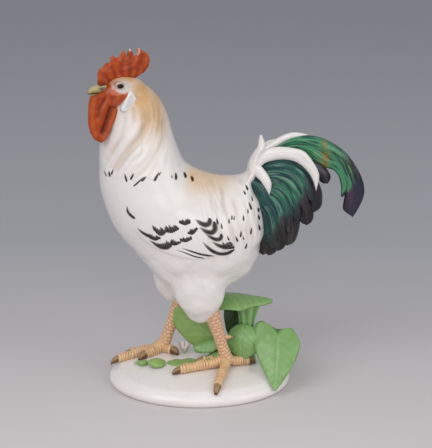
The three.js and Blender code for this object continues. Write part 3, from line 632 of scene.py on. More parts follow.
def head_form():
    """The skull, from the back of the head to the foot of the beak."""
    table = [
        [0.45, 0, 0.18], [0.3, 0.02, 0.36], [0.05, 0.01, 0.48], [-0.17, 0, 0.5], [-0.38, -0.04, 0.41],
        [-0.55, -0.08, 0.25],
    ]
    rows = along(table, np.linspace(0, 1, 40))
    centres = np.stack([rows[:, 0] * HEAD_LENGTH, 0 * rows[:, 0], rows[:, 1] * HEAD_HEIGHT], axis=1)
    across = rows[:, 2:] * HEAD_WIDTH * [[0, 1, 0]]
    through = rows[:, 2:] * HEAD_HEIGHT * [[0, 0, 1]]
    points, faces = loft(centres, across, through, 40)
    return from_head(points), faces


THIGHS = {
    "left": (-1, trunk_point(0.595, 0.25), 0.14),
    "right": (1, trunk_point(0.482, 0.28), -0.03),
}
THIGH_LENGTH, THIGH_DEPTH, THIGH_WIDTH, THIGH_BOW, HIP_SPACING = 44, 38, 27, 3.2, 38


def thigh_point(thigh, share):
    """A place down the middle of a thigh."""
    side, hip, lean = thigh
    out = side * (HIP_SPACING / 2) * (1 - 0.18 * share)
    return np.array([hip[0] + lean * share * THIGH_LENGTH, out, hip[2] - share * THIGH_LENGTH])


def thigh_form(thigh):
    """A thigh, full at the hip and rounded below."""
    table = [[-0.1, 0.6], [0.15, 0.95], [0.42, 0.98], [0.62, 0.84], [0.8, 0.6], [0.92, 0.36], [0.98, 0.14]]
    rows = along(table, np.linspace(0, 1, 30))
    centres = np.array([thigh_point(thigh, share) for share in rows[:, 0]])
    centres[:, 0] -= THIGH_BOW * np.clip(rows[:, 0], 0, 1) ** 2
    across = rows[:, 1:] * THIGH_DEPTH / 2 * [[1, 0, 0]]
    through = rows[:, 1:] * THIGH_WIDTH / 2 * [[0, 1, 0]]
    return loft(centres, across, through, 36)


def tail_root_form():
    """The white mass that the plumes and the spike grow from."""
    table = [
        [25, 143.6, 8.6, 15], [31.6, 152, 6, 14.5], [37.6, 161, 5.4, 12.5], [41.6, 170, 4.2, 9],
        [43.4, 175, 2.6, 5],
    ]
    rows = along(table, np.linspace(0, 1, 24))
    centres = np.stack([rows[:, 0], 0 * rows[:, 0], rows[:, 1]], axis=1)
    lean_back = [[-0.84, 0, 0.54]]
    return loft(centres, rows[:, 3:] * [[0, 1, 0]], rows[:, 2:3] * lean_back, 36)


# Lines of the neck seen from the side, as (x, z): the throat, two folds and the nape
THROAT = [(-69, 162.8), (-68, 177.8), (-64, 191.8), (-61, 202.8), (-57, 212)]
FRONT_FOLD = [
    (-57.5, 165.8), (-52.2, 173.6), (-45.4, 181.9), (-38.3, 188.9), (-34.4, 197.2), (-36.6, 207),
    (-41, 214),
]
REAR_FOLD = [(-42.8, 160.8), (-34, 170.7), (-26, 179.3), (-23.4, 186), (-24.8, 194)]
NAPE = [(1, 158), (-9, 163.7), (-15, 176.2), (-20, 189.8), (-26, 203.8), (-35, 217.8)]
SOFT_FOLDS = [
    [(-33, 205), (-22, 192), (-15, 178), (-12, 166)],
    [(-50, 200), (-53, 190), (-58, 180), (-63, 172)],
    [(-44, 206), (-46, 196), (-53, 186), (-60, 177)],
]

# The skin's features in mm. A pair is where one comes in or fades out, in X or in Z.
CHEST_TO_HACKLE, HACKLE_TO_HEAD = (158, 164), (207, 214)
FOLD_FOOT, FOLD_TOP, REAR_FOLD_FOOT = (160, 170), (198, 210), (158, 168)
FOLD_WIDTH, REAR_FOLD_WIDTH, SOFT_FOLD_WIDTH, FOLD_LIP_END = 2.4, 3.0, 2.0, -38
CAPE_EDGE, CAPE_SCALLOP, CAPE_STRANDS, CAPE_SCALLOPS = 160.5, 2.2, 12, 11
RUMP_FRONT, RUMP_REAR, RUMP_FOOT, RUMP_HEIGHT, RUMP_STRAND = (-8, 6), (38, 46), (106, 118), 130, 3.1
LAP_FRONT, LAP_FOOT, LAP_TOP = (33, 39), (106, 116), (138, 147)
NAPE_HEIGHT, NAPE_REACH, NAPE_SWELL = 203, 13, 2.6
SADDLE_END, SADDLE_END_REACH, SADDLE_END_DEPTH = (31, 158), 5.6, 3.4
BREAST_TOP, BREAST_FADE = 118, 22

# Places on the head in X and Z, each with its reach in X and in Z
EYE_AT, EYE_REACH, EYE_OUT = (-6.5, 7.3), (2.4, 1.6), 10.3
EYE_RING = (-4.9, 7.0), (5.8, 4.9)
NOSTRIL = (-17.4, 5.2), (2.3, 1.3)

WING_LENGTH, WING_DEPTH = 76, 44
WING_OUTLINE = [
    (0, 0.2), (0.07, 0.52), (0.22, 0.78), (0.42, 0.92), (0.65, 1), (0.85, 0.93), (1, 0.76), (0.93, 0.48),
    (0.74, 0.22), (0.48, 0.05), (0.22, -0.02), (0.07, 0.04),
]


def wing_line():
    """The wing's outline as (x, z)."""
    shoulder = trunk_point(0.16, 0.85)
    table = [(shoulder[0] + a * WING_LENGTH, shoulder[2] - b * WING_DEPTH) for a, b in WING_OUTLINE]
    return evened([*table, table[0]], 60)


def neck_share(x, z):
    """Share across the neck from throat to nape, along which the strands run."""
    edges = []
    for line in (THROAT, FRONT_FOLD, REAR_FOLD, NAPE):
        across, height = np.array(sorted(line, key=lambda place: place[1])).T
        edges.append(np.interp(z, height, across))
    # The share at the throat, at the two folds and at the nape
    marks = [0, 0.35, 0.65, 1]
    share = np.zeros_like(x)
    for a, b, start, end in zip(edges[:-1], edges[1:], marks[:-1], marks[1:]):
        share = np.where(x > a, start + (end - start) * (x - a) / np.maximum(b - a, 1), share)
    return share


def skin_relief(points, normals):
    """How far the modelled feathers move the skin, and how deep each point lies in a groove."""
    p = sizes()
    x, _, z = points.T
    flat = points[:, [0, 2]]
    side = step(np.abs(normals[:, 1]), 0.1, 0.5)
    below_head = 1 - step(z, *HACKLE_TO_HEAD)
    neck = window(z, CHEST_TO_HACKLE, HACKLE_TO_HEAD)

    # The hackle: its folds, the lip before the deepest one, the strands and the cape's scalloped edge
    front = from_line(flat, FRONT_FOLD)[0]
    fold = bump(front, FOLD_WIDTH) * window(z, FOLD_FOOT, FOLD_TOP) * below_head
    fold += 0.45 * bump(from_line(flat, REAR_FOLD)[0], REAR_FOLD_WIDTH) * step(z, *REAR_FOLD_FOOT)
    for line in SOFT_FOLDS:
        fold += 0.3 * bump(from_line(flat, line)[0], SOFT_FOLD_WIDTH) * below_head
    lift = -p.fold_depth * fold * side
    lift += 0.5 * p.fold_depth * bump(front - 5, 3.0) * (x < FOLD_LIP_END) * side * neck
    q = neck_share(x, z)
    wander = lumps(points * [1, 1, 0.25], 9, 3)
    strands = np.sin(math.tau * (CAPE_STRANDS * q + 0.55 * wander))
    strands *= (0.55 + 0.45 * lumps(points, 16, 4)) * neck * side
    edge = z - CAPE_EDGE - CAPE_SCALLOP * np.abs(2 * ((CAPE_SCALLOPS * q) % 1) - 1)
    lift += 0.12 * window(edge, (-0.8, 0.8), (2, 12)) * side + p.strand_relief * strands

    # The rump: strands that fan out towards the tail, which the rump's feathers lap over
    rump = window(x, RUMP_FRONT, RUMP_REAR) * step(z, *RUMP_FOOT) * side
    slope = 0.36 - 0.4 * step(x, 5, 42)
    lines = np.sin(math.tau * ((x + slope * (z - RUMP_HEIGHT)) / RUMP_STRAND + 0.5 * lumps(points, 10, 5)))
    lines *= cloud(points, 13, 6)
    lift += 1.5 * p.strand_relief * rump * lines
    lift += p.rump_relief * step(x, *LAP_FRONT) * window(z, LAP_FOOT, LAP_TOP)
    faces_up = step(normals[:, 2] - normals[:, 0], 0.1, 0.8)
    lift -= SADDLE_END_DEPTH * bump(off(points, SADDLE_END, (1, 1)), SADDLE_END_REACH) * faces_up

    # The wing's plate, soft above and crisp below
    wing = wing_line()
    distance = from_line(flat, wing)[0]
    within = np.where(inside(flat, wing), distance, -distance)
    soft = 2.2 + 7 * step(z, 118, 138)
    lift += p.wing_relief * step(within, -0.5 * soft, soft) * side * step(x, -56, -38)

    # Breast, back of the neck and the unevenness of the hand
    breast = step(BREAST_TOP - z, 0, BREAST_FADE)
    lift += p.contour_relief * breast * (lumps(points, 8, 7) + 0.4 * lumps(points, 4, 8))
    lift += 0.18 * lumps(points, 14, 9)
    lift += NAPE_SWELL * bump(z - NAPE_HEIGHT, NAPE_REACH) * step(normals[:, 0], 0.1, 0.7)

    # The socket and ring of the eye, and the wrinkled red skin
    local = in_head(points)
    eye = np.hypot(local[:, 0] - EYE_AT[0], (local[:, 2] - EYE_AT[1]) * 1.2)
    cheek = step(local[:, 0], -19, -15) * (local[:, 2] > -6) * step(np.abs(local[:, 1]), 4, 7)
    lift += cheek * (-0.8 * bump(eye, 3.2) + 0.25 * bump(eye - 3.8, 1.0))
    lift += 0.3 * red_share(local) * lumps(points, 2.2, 11)
    groove = np.clip(fold, 0, 1) * side
    groove += 0.35 * np.maximum(0, -strands) + 0.3 * np.maximum(0, -lines) * rump
    return lift, groove


def off(points, at, reach):
    """Distance of points from a place in X and Z, as shares of a reach in X and one in Z."""
    return np.hypot((points[:, 0] - at[0]) / reach[0], (points[:, 2] - at[1]) / reach[1])


def red_share(local):
    """Where the head is iron red: between comb, beak and wattles."""
    x, _, z = local.T
    # The red's rear edge, X at each height
    line = np.interp(z, [-9, -7, -2.2, 3, 6, 9, 12, 14], [-9, -7.9, -4.4, -0.7, -4, -8, -11, -9])
    red = step(line - x, -0.8, 0.8) * (z > -10)
    cap = step(z - 8.2 + 0.5 * np.abs(x + 5), -0.6, 1.0) * step(x, -12.4, -10.6)
    return red * step(off(local, *EYE_RING), 0.75, 1.15) * (1 - cap) * (1 - step(z, 16, 18))


def skin_paint(points, groove):
    """The washes on the bird's white glaze, with painted shade in its grooves and under the eye's upper
    lid.
    """
    x, y, z = points.T
    uneven = cloud(points * [1, 1, 0.4], 7, 21)
    neck = bump(off(points, (-37, 216), (13, 15)), 1) + 0.6 * bump(off(points, (-28, 199), (8, 14)), 1)
    fold, share = from_line(points[:, [0, 2]], FRONT_FOLD)
    saddle = bump(off(points, (6, 158), (24, 9)), 1) * window(x, (-14, -4), (20, 32))
    rump = step(x, -2, 12) * window(z, (102, 112), (150, 160))
    # Thin streaks of grey-brown, 1.6 mm apart and eleven times as long
    hair = lumps(np.stack([x + 0.3 * (z - RUMP_HEIGHT), 0.2 * y, 0.09 * z], axis=1), 1.6, 23)
    paint = painted(
        plain(points, "white"),
        ("hackle", 1.1 * neck * (0.7 + 0.4 * uneven)),
        ("hackle", 0.7 * bump(fold, 3.4) * step(share, 0.1, 0.8)),
        ("saddle", 1.1 * saddle * (0.65 + 0.45 * uneven)),
        # Painted shade in the grooves of the hackle, the neck folds and the rump
        ("hackle", 0.34 * groove, 0.75),
        ("#A99A88", 0.36 * rump * step(hair, 0.0, 0.9)),
    )

    # The head: an ochre crown, pale skin round the eye, a flush before it, painted shade under its upper
    # lid and the red face
    local = in_head(points)
    ring = off(local, *EYE_RING)
    on_head = (local[:, 0] < 5) & (local[:, 2] > -12) & (z > 200)
    crown = step(local[:, 2], 7.6, 10) * (1 - step(local[:, 0], 2, 8))
    lid = from_line(local[:, [0, 2]], [(-9.6, 7.6), (-7.8, 9.3), (-5.4, 9.5), (-3.2, 8)])[0]
    paint = painted(
        paint,
        ("hackle", on_head * crown * (0.7 + 0.3 * uneven)),
        ("#D0C2BB", on_head * (1 - step(ring, 0.7, 1.1)) * (1 - step(local[:, 2], 8.4, 10.6))),
        ("#BC6E4C", 0.85 * on_head * bump(np.hypot(local[:, 0] + 10.6, local[:, 2] - 8.6), 3.2)),
        ("lobe", 0.3 * bump(ring - 0.75, 0.1) * step(local[:, 0], -8, -3) * on_head),
        ("#6E5546", 0.6 * on_head * bump(lid, 0.5)),
    )
    thin = cloud(points, 2.4, 12)
    iron = painted(plain(points, "comb"), ("comb_light", thin * 0.5), ("comb_dark", 0.5 * (1 - thin) ** 2))
    return mixed(paint, iron, red_share(local) * on_head)


# Rounds that smooth the fused skin, and the ones that blend its parts
SKIN_ROUNDS, BLEND_ROUNDS = 12, 110


class ROOSTER_OT_skin(bpy.types.Operator):
    """Builds the trunk, neck, head, wings and thighs as one glazed skin"""

    bl_idname = "rooster.skin"
    bl_label = "Plumage"

    def execute(self, context):
        p = sizes()
        forms = [trunk_form(), head_form(), tail_root_form(), *(thigh_form(t) for t in THIGHS.values())]
        points, faces = fused(forms, p.skin_pitch)
        points = eased(points, faces, SKIN_ROUNDS)
        # The thighs flow into the belly, and the tail's root into the saddle
        soft = eased(points, faces, BLEND_ROUNDS)
        x, _, z = points.T
        blend = np.maximum(window(z, (66, 80), (106, 120)), 0.25 * step(x, 18, 26) * step(z, 140, 146))
        points = points + (soft - points) * blend[:, None]
        local = in_head(points)
        points, faces = refined(points, faces, (local[:, 0] < 6) & (local[:, 2] > -11))
        points = eased(points, faces, 2)
        lift, groove = skin_relief(points, normals_of(points, faces))
        points = raised(points, faces, lift)
        make(
            "plumage", (points, faces, skin_paint(points, groove)), "white_porcelain", "white_glaze",
            "body_shell", "neck_shell", "head", "thigh_left", "thigh_right", "wing_left", "wing_right",
        )
        return {"FINISHED"}


# Brush strokes on the plumage, seen from the side: width, then (x, z) from the thin end on
STROKES = [
    (1.0, [(-64.5, 163), (-62.6, 159.8)]), (1.6, [(-60.8, 164.6), (-60.2, 160.6)]),
    (1.2, [(-57.8, 166), (-59.2, 162.4)]), (1.4, [(-49.8, 165), (-48.4, 159)]),
    (1.3, [(-43.4, 165.6), (-45.9, 160.8)]), (1.1, [(-36.4, 163.6), (-40, 160), (-43.9, 156.4)]),
    (1.5, [(-35, 163.6), (-38.4, 160.2)]), (1.7, [(-26.6, 165.6), (-29.9, 160.2)]),
    (0.8, [(-25.4, 166), (-26.6, 163.6)]), (0.7, [(-18.3, 162.8), (-17.9, 160.5)]),
    (1.7, [(-15.7, 163.4), (-15.1, 158.8)]), (1.6, [(-10.4, 161.6), (-8.4, 158.2)]),
    (1.6, [(-5.4, 158.4), (-3.6, 155.6)]),
    (2.2, [(-48.6, 142), (-47.9, 138), (-45.8, 135.7), (-43, 133.8)]),
    (2.6, [(-41.6, 127), (-37.7, 123.8), (-33.5, 121.9), (-28.6, 120.4)]),
    (3.0, [(-33.2, 118.6), (-29.3, 116.3), (-25.6, 114.6), (-22, 114.6), (-18.6, 116)]),
    (1.5, [(-11.4, 114.8), (-5.5, 112.4), (1.1, 110), (6, 108.9), (10, 108.3)]),
    (1.0, [(-15, 113.2), (-8.5, 110.8), (-2.5, 108.3), (4.4, 106.6)]),
    (3.2, [(-1.8, 133.8), (2.6, 130.9), (5.6, 130.4), (7.6, 131.6), (7.4, 134.4)]),
    (3.4, [(1, 128.7), (5.6, 125.8), (9.4, 125.2), (11.2, 127.6), (10.6, 132)]),
    (2.6, [(5.2, 124), (10.2, 121), (13.6, 120.2), (15.4, 121.4), (15.4, 124)]),
    (3.0, [(9.4, 118.8), (14.6, 115.6), (19.4, 114.3), (22, 115), (21, 118)]),
    (2.6, [(2.8, 118.9), (8.4, 113.2), (14, 109.9), (19.2, 109.2), (24.6, 111.6)]),
    (1.2, [(4, 116.4), (9, 111.8), (14, 108.9)]),
    (1.3, [(12.3, 134.2), (13.2, 130)]), (1.0, [(15.2, 131), (16.2, 127)]),
    (1.1, [(22.9, 135.4), (22.7, 132.2)]), (1.0, [(20.8, 133.4), (20.9, 130)]),
    (1.1, [(30.6, 134.8), (30.9, 130.7)]), (1.1, [(19.6, 122.2), (21, 118.8)]),
    (1.3, [(29.2, 124.4), (28.6, 120)]), (1.2, [(25.4, 121.2), (26.8, 117)]),
    (0.9, [(30.6, 120.4), (30.9, 117.8)]), (1.3, [(36.4, 125.6), (35.6, 120.8)]),
    (1.4, [(33.3, 115), (32, 110.8)]), (1.4, [(32.2, 152.6), (33.9, 149)]),
    (1.2, [(30.8, 149.2), (32.2, 146.8)]), (0.9, [(36.3, 145.4), (36.9, 142.2)]),
    (1.4, [(34.4, 142.4), (36.3, 137.2)]), (0.9, [(33.7, 138.5), (33.9, 135)]),
    (1.3, [(40.2, 137.4), (41.8, 133.8)]), (1.3, [(40.6, 133), (42, 128.6)]),
    (1.3, [(41, 126.2), (42.4, 121.2)]), (0.8, [(24.4, 135), (24.2, 132)]),
]

# Blotches of bristly strokes on the wing: the ragged upper edge, then the full lower edge
BLOTCHES = [
    ([(-31.4, 130.4), (-28.2, 130.2), (-25.6, 129.2), (-23.4, 127.4)],
     [(-29.4, 126.2), (-26.8, 123.2), (-24, 123.2), (-21.4, 125.8)]),
    ([(-23, 129.8), (-19.9, 130.5), (-16.3, 130.7)], [(-21.2, 125.6), (-17.2, 125.4), (-13.1, 127.6)]),
    ([(-13.5, 134.2), (-9.6, 134.6), (-5.8, 135.1)], [(-11.8, 131.8), (-9, 130.4), (-6, 131.4)]),
    ([(-7.4, 126.4), (-4.5, 128.3), (-1.3, 129.2)], [(-6.3, 124.6), (-3.8, 124), (-0.9, 127)]),
    ([(-12.6, 121.4), (-9.1, 122.6), (-5.2, 123.2)], [(-11.2, 119.4), (-8.2, 118.8), (-4.8, 120.6)]),
    ([(-18.2, 120.8), (-15.5, 120.6), (-12.5, 119.8)], [(-18.8, 116.9), (-16.1, 116.3), (-12.4, 118)]),
    ([(-28, 117.6), (-23, 119.2), (-19, 119.3)], [(-25.4, 114), (-22, 113.6), (-18.6, 115)]),
    ([(-34.8, 123.6), (-30.6, 123.2), (-27.4, 122.8)], [(-32.3, 119.8), (-29.2, 118.9), (-25.8, 120.8)]),
    ([(15.4, 117.2), (19, 117.8), (22.2, 116.4)], [(17.4, 113.2), (20.8, 112.5), (24.4, 112.3)]),
]


# Points round a brush stroke: the share across it and the share of its height. The last two lie below
# the skin.
STROKE_SECTION = ((-1, 0.25), (-0.5, 1), (0, 1), (0.5, 1), (1, 0.25), (0.5, -3), (-0.5, -3))


def brushed(points, width, side, surface, order, edge):
    """One brush stroke laid on the surface, seen from a side, with its depth of colour."""
    height = sizes().brush_height * (1 + 0.15 * (order % 5))
    line = evened(points, max(6, 4 * len(points)))
    shares = np.linspace(0, 1, len(line))
    press = np.interp(shares, [0, 0.25, 0.6, 0.88, 1], [0.2, 0.7, 1, 0.95, 0.35]) * 1.25
    rings = []
    for place, normal, wide in zip(line, sideways(line), press * width / 2):
        ring = []
        for t, share in STROKE_SECTION:
            px, pz = place + normal * t * wide
            start = Vector((px * MM, side * 0.2, pz * MM))
            hit, direction, _, _ = surface.ray_cast(start, Vector((0, -side, 0)))
            if hit is None:
                start.y = side * 0.012
                hit, direction, _, _ = surface.find_nearest(start)
            ring.append(np.array(hit) / MM + np.array(direction) * height * share)
        rings.append(ring)
    fade = np.interp(shares, [0, 0.15, 0.35, 1], [0.4, 0.85, 1, 1])
    depth = np.outer(fade, [edge, 0.97, 1, 0.97, edge, 1, 1])
    return (*tube(rings), np.r_[depth.ravel(), depth[0].mean(), depth[-1].mean()])


def blotch(upper, lower, seed, count=7):
    """The strokes of one blotch: ragged above and full below."""
    chance = np.random.default_rng(seed)
    shares = np.linspace(0.02, 0.98, count)
    tops, feet = along(upper, shares), along(lower, shares)
    tops = tops + (tops - feet) * chance.uniform(-0.25, 0.15, (count, 1))
    return list(zip(tops, feet))


class ROOSTER_OT_strokes(bpy.types.Operator):
    """Brushes the black marks of hackle, wing and rump on both sides"""

    bl_idname = "rooster.strokes"
    bl_label = "Brush strokes"

    def execute(self, context):
        skin = bpy.data.objects["plumage"]
        surface = BVHTree.FromObject(skin, context.evaluated_depsgraph_get())
        marks = [(width, line, 0.15) for width, line in STROKES]
        for seed, (upper, lower) in enumerate(BLOTCHES):
            marks += [(1.5, stroke, 0.75) for stroke in blotch(upper, lower, seed)]
        parts = []
        for side in SIDES.values():
            for order, (width, line, edge) in enumerate(marks):
                points, faces, depth = brushed(line, width, side, surface, order, edge)
                thick = depth * (0.94 + 0.06 * cloud(points, 1.2, 31))
                parts.append((points, faces, painted(skin_paint(points, 0 * depth), ("stroke", thick))))
        make("brush_strokes", joined(parts), "manganese", "tail_enamel")
        return {"FINISHED"}


# Comb, wattles, earlobes, beak and eyes


COMB_OUTLINE = [
    (-19.6, 5), (-20, 9), (-19.7, 14.6), (-18.2, 17.8), (-16.6, 17.6), (-15.2, 20.6), (-13.4, 21.6),
    (-12, 20.2), (-10.8, 21.6), (-9.9, 25.4), (-8.9, 26.3), (-7.6, 24.6), (-6.2, 22.6), (-4.6, 22.8),
    (-3.4, 26.2), (-1.6, 28.9), (-0.3, 28.4), (0.6, 24.4), (1.4, 25), (1.9, 28.6), (3.3, 30),
    (4.7, 29.2), (5.6, 25.8), (6.9, 23.2), (7.8, 25), (8.6, 28.8), (9.9, 30), (11.2, 28.2), (13.2, 27.4),
    (15.8, 25.6), (17.2, 21), (16.4, 16.8), (13.4, 13), (9, 10.8), (6, 9), (-2, 7), (-10, 5.5), (-15, 4),
]
WATTLE_OUTLINE = [
    (-26.3, 0.8), (-28.2, -8.4), (-28.8, -18.2), (-27.7, -24.6), (-24.4, -29.8), (-20.3, -32.2),
    (-17, -29.8), (-13.2, -22.5), (-9.3, -15.2), (-6, -8.6), (-3, -3.4), (-2, 0.4), (-7.6, 2.6),
    (-16.1, 3.4), (-21, 2),
]
# Folds of a wattle: the deep one down its middle, then the ridges beside it. The fold and the notch are
# painted with shade, the ridges with highlight
WATTLE_FOLD = [(-11, -3), (-13.6, -9), (-16.4, -16), (-19.6, -24)]
WATTLE_RIDGES = [
    [(-12.7, -0.9), (-17.3, -5.3), (-21.4, -10.7), (-23, -16.5)],
    [(-8.4, -5), (-11.4, -12.2), (-13.8, -18.9), (-18.6, -28.6)],
    [(-24.6, -1), (-26.4, -9), (-26.6, -18), (-24.4, -26)],
]
WATTLE_NOTCH = [(-17, -1.5), (-20.6, -6.5), (-22.6, -13)]
LOBE_OUTLINE = [
    (0.2, 3.4), (2.6, 1), (3.8, -2.6), (2.6, -6.2), (-0.6, -8.8), (-4, -9.9), (-6.6, -9.4), (-7, -7),
    (-5, -4), (-3, 0.4), (-1.4, 2.8),
]
LOBE_OUT, LOBE_THICKNESS = 11.0, 4.6


def plate(outline, thickness, pitch, rounding):
    """A rounded plate in the head's XZ plane, with its distance from the outline at each point."""
    outline = np.asarray(outline, float)
    count = len(outline)
    half = thickness / 2
    shell = bmesh.new()
    rows = [[shell.verts.new((x, y, z)) for x, z in outline] for y in (-half, half)]
    shell.faces.new(rows[0])
    shell.faces.new(rows[1][::-1])
    for i in range(count):
        j = (i + 1) % count
        shell.faces.new([rows[0][j], rows[0][i], rows[1][i], rows[1][j]])
    bmesh.ops.triangulate(shell, faces=[f for f in shell.faces if len(f.verts) > 4])
    mesh = bpy.data.meshes.new("plate")
    shell.to_mesh(mesh)
    shell.free()
    mesh.transform(Matrix.Scale(MM, 4))
    points, faces = arrays_of(mesh)
    bpy.data.meshes.remove(mesh)
    points, faces = fused([(points, faces)], pitch)
    points = eased(points, faces, 3)
    flat = points[:, [0, 2]]
    distance = from_line(flat, np.vstack([outline, outline[:1]]))[0]
    distance = np.where(inside(flat, outline), distance, 0)
    swell = np.sqrt(1 - (1 - np.clip(distance / rounding, 0, 1)) ** 2)
    points[:, 1] *= 0.25 + 0.75 * swell
    return eased(points, faces, 2), faces, distance


def iron_paint(points, light, dark):
    """Iron red, paler where light is given and deeper where dark is given, both uneven; comb and wattles
    give their painted highlight and shade this way.
    """
    uneven = cloud(points, 3.2, 41)
    return painted(
        plain(points, "comb"),
        ("comb_light", np.clip(light, 0, 1) * (0.45 + 0.55 * uneven)),
        ("comb_dark", np.clip(dark, 0, 1) * (0.7 + 0.3 * uneven)),
    )


def comb_form():
    """The toothed comb, ribbed from its foot to each tooth."""
    points, faces, edge = plate(COMB_OUTLINE, sizes().comb_thickness, 0.5, 2.4)
    x, _, z = points.T
    angle = np.arctan2(z + 6, x - 1)
    ribs = np.sin(angle * 24 + 1.2 * lumps(points, 5, 43))
    lift = 0.22 * ribs * step(edge, 0.3, 2) + 0.4 * lumps(points, 2.6, 44)
    points[:, 1] *= 1 - 0.28 * step(z, 16, 28) * (x < 7)
    points = raised(points, faces, lift)
    # Painted highlight on the outline and the crests of the ribs; painted shade in the troughs of the ribs
    # and at the comb's foot, and deeper patches at random
    light = 0.5 * (1 - step(edge, 0, 1.2)) + 0.4 * np.maximum(0, ribs)
    dark = 0.35 * np.maximum(0, -ribs) * step(edge, 0.5, 2) + 0.5 * (1 - step(z, 8, 13))
    dark += 0.5 * step(lumps(points, 3, 45), 0.2, 0.9)
    # White at the tip of a tooth, and a painted highlight along the edge of the next
    rim = from_line(points[:, [0, 2]], [(9.9, 29.8), (8.4, 26)])[0]
    bare = bump(np.hypot(x - 3.2, z - 29.8), 1.1) + 0.45 * bump(rim, 0.6)
    paint = painted(iron_paint(points, light, dark), ("white", bare))
    return from_head(points + [0.8, 0, 0]), faces, paint


def wattle_form(side):
    """A wattle with its folds."""
    points, faces, edge = plate(WATTLE_OUTLINE, sizes().wattle_thickness, 0.5, 2.6)
    flat = points[:, [0, 2]]
    fold = bump(from_line(flat, WATTLE_FOLD)[0], 1.7)
    notch = bump(from_line(flat, WATTLE_NOTCH)[0], 1.1)
    ridge = sum(bump(from_line(flat, line)[0], 1.5) for line in WATTLE_RIDGES)
    points = raised(points, faces, -1.5 * fold - 0.8 * notch + 0.7 * ridge + 0.22 * lumps(points, 2.4, 46))
    drop = np.clip(-points[:, 2] / 32, 0, 1)
    if side > 0:
        points = points * [0.93, 1, 0.94] + [1.2, 0, 0]
    points = points * [1, side, 1] + [0.7, 0, 0]
    points[:, 1] += side * (4.7 + 0.9 * drop)
    # Painted highlight on the ridges and the edge; painted shade in the fold, the notch and at the wattle's
    # top under the face
    light = 0.6 * ridge + 0.35 * (1 - step(edge, 0, 1.4))
    dark = 0.95 * fold + 0.7 * notch + 0.2 * (1 - step(drop, 0, 0.12))
    return from_head(points), faces, iron_paint(points, light, dark)


def lobe_form(side):
    """A white earlobe with a grey-blue edge, and painted grey-blue shade in its hollow."""
    points, faces, edge = plate(LOBE_OUTLINE, LOBE_THICKNESS, 0.45, 2.6)
    hollow = bump(edge - 3.0, 1.2)
    paint = painted(plain(points, "white"), ("lobe", 0.4 * hollow + 0.6 * (1 - step(edge, 0.1, 0.7))))
    points = raised(points, faces, -0.35 * hollow + 0.15 * lumps(points, 2.2, 47))
    middle = points.mean(axis=0)
    points = middle + (points - middle) * [1.1, 1, 1.12] + [0, side * LOBE_OUT, 0]
    return from_head(points), faces, paint


# The halves of the beak: (along, height, half height, half width)
UPPER_BEAK = [
    (-12.5, 4.2, 3.6, 4.4), (-17.5, 4.1, 3.2, 4.0), (-21, 3.9, 2.6, 3.1), (-23.8, 3.6, 2.1, 2.3),
    (-25.6, 2.8, 1.5, 1.6), (-26.5, 1.9, 0.6, 0.6),
]
LOWER_BEAK = [
    (-12.5, -0.4, 1.8, 3.8), (-18, -0.2, 1.6, 3.3), (-22, 0, 1.3, 2.4), (-24.8, 0.4, 0.7, 1.2),
    (-25.6, 0.7, 0.3, 0.5),
]


def beak_form():
    """The closed beak with its gape and nostrils."""
    parts = []
    for table in (UPPER_BEAK, LOWER_BEAK):
        rows = along(table, np.linspace(0, 1, 34))
        centres = np.stack([rows[:, 0], 0 * rows[:, 0], rows[:, 1]], axis=1)
        points, faces = loft(centres, rows[:, 3:4] * [[0, 1, 0]], rows[:, 2:3] * [[0, 0, 1]], 28)
        nostril = off(points, *NOSTRIL)
        points = raised(points, faces, -0.5 * bump(nostril, 1))
        gape = np.abs(points[:, 2] - 1.3 + 0.05 * (points[:, 0] + 20))
        paint = painted(
            plain(points, "beak"),
            # Painted shade at the root of the beak, where it meets the face
            ("#5E4A34", 0.8 * (1 - step(-points[:, 0], 17, 20))),
            ("comb_dark", 0.95 * bump(nostril, 1.1), 0.6),
            # Painted light on the top of the upper half
            ("#E2D6AE", 0.45 * step(points[:, 2], 4.4, 7)),
            ("#6B5A30", 0.75 * bump(gape, 0.7)),
        )
        parts.append((from_head(points), faces, paint))
    return joined(parts)


def eye_form(side):
    """A glossy eye under a lid."""
    out = np.linspace(0.02, 1, 12)[:, None]
    centres = [EYE_AT[0], EYE_OUT, EYE_AT[1]] + 1.2 * np.sqrt(1 - out**2) * [[0, 1, 0]]
    points, faces = loft(centres, out * [[EYE_REACH[0], 0, 0]], out * [[0, 0, EYE_REACH[1]]], 28)
    away = off(points, EYE_AT, EYE_REACH)
    paint = painted(
        plain(points, "eye"),
        ("stroke", 1 - step(away, 0.5, 0.68), 0.35),
        ("stroke", 0.8 * step(away, 0.84, 0.95), 0.6),
    )
    return from_head(points * [1, side, 1]), faces, paint


class ROOSTER_OT_head(bpy.types.Operator):
    """Builds comb, wattles, earlobes, beak and eyes"""

    bl_idname = "rooster.head"
    bl_label = "Head details"

    def execute(self, context):
        make("comb_ribbed", comb_form(), "iron_red", "comb_enamel", "comb")
        make("beak_closed", beak_form(), "flesh", "beak_enamel", "beak")
        for name, side in SIDES.items():
            wattle, lobe = f"wattle_{name}", f"earlobe_{name}"
            make(f"wattle_folded_{name}", wattle_form(side), "iron_red", "comb_enamel", wattle)
            make(f"earlobe_edged_{name}", lobe_form(side), "white_porcelain", "lobe_glaze", lobe)
            make(f"eye_{name}", eye_form(side), "manganese", "comb_enamel")
        return {"FINISHED"}


# Tail


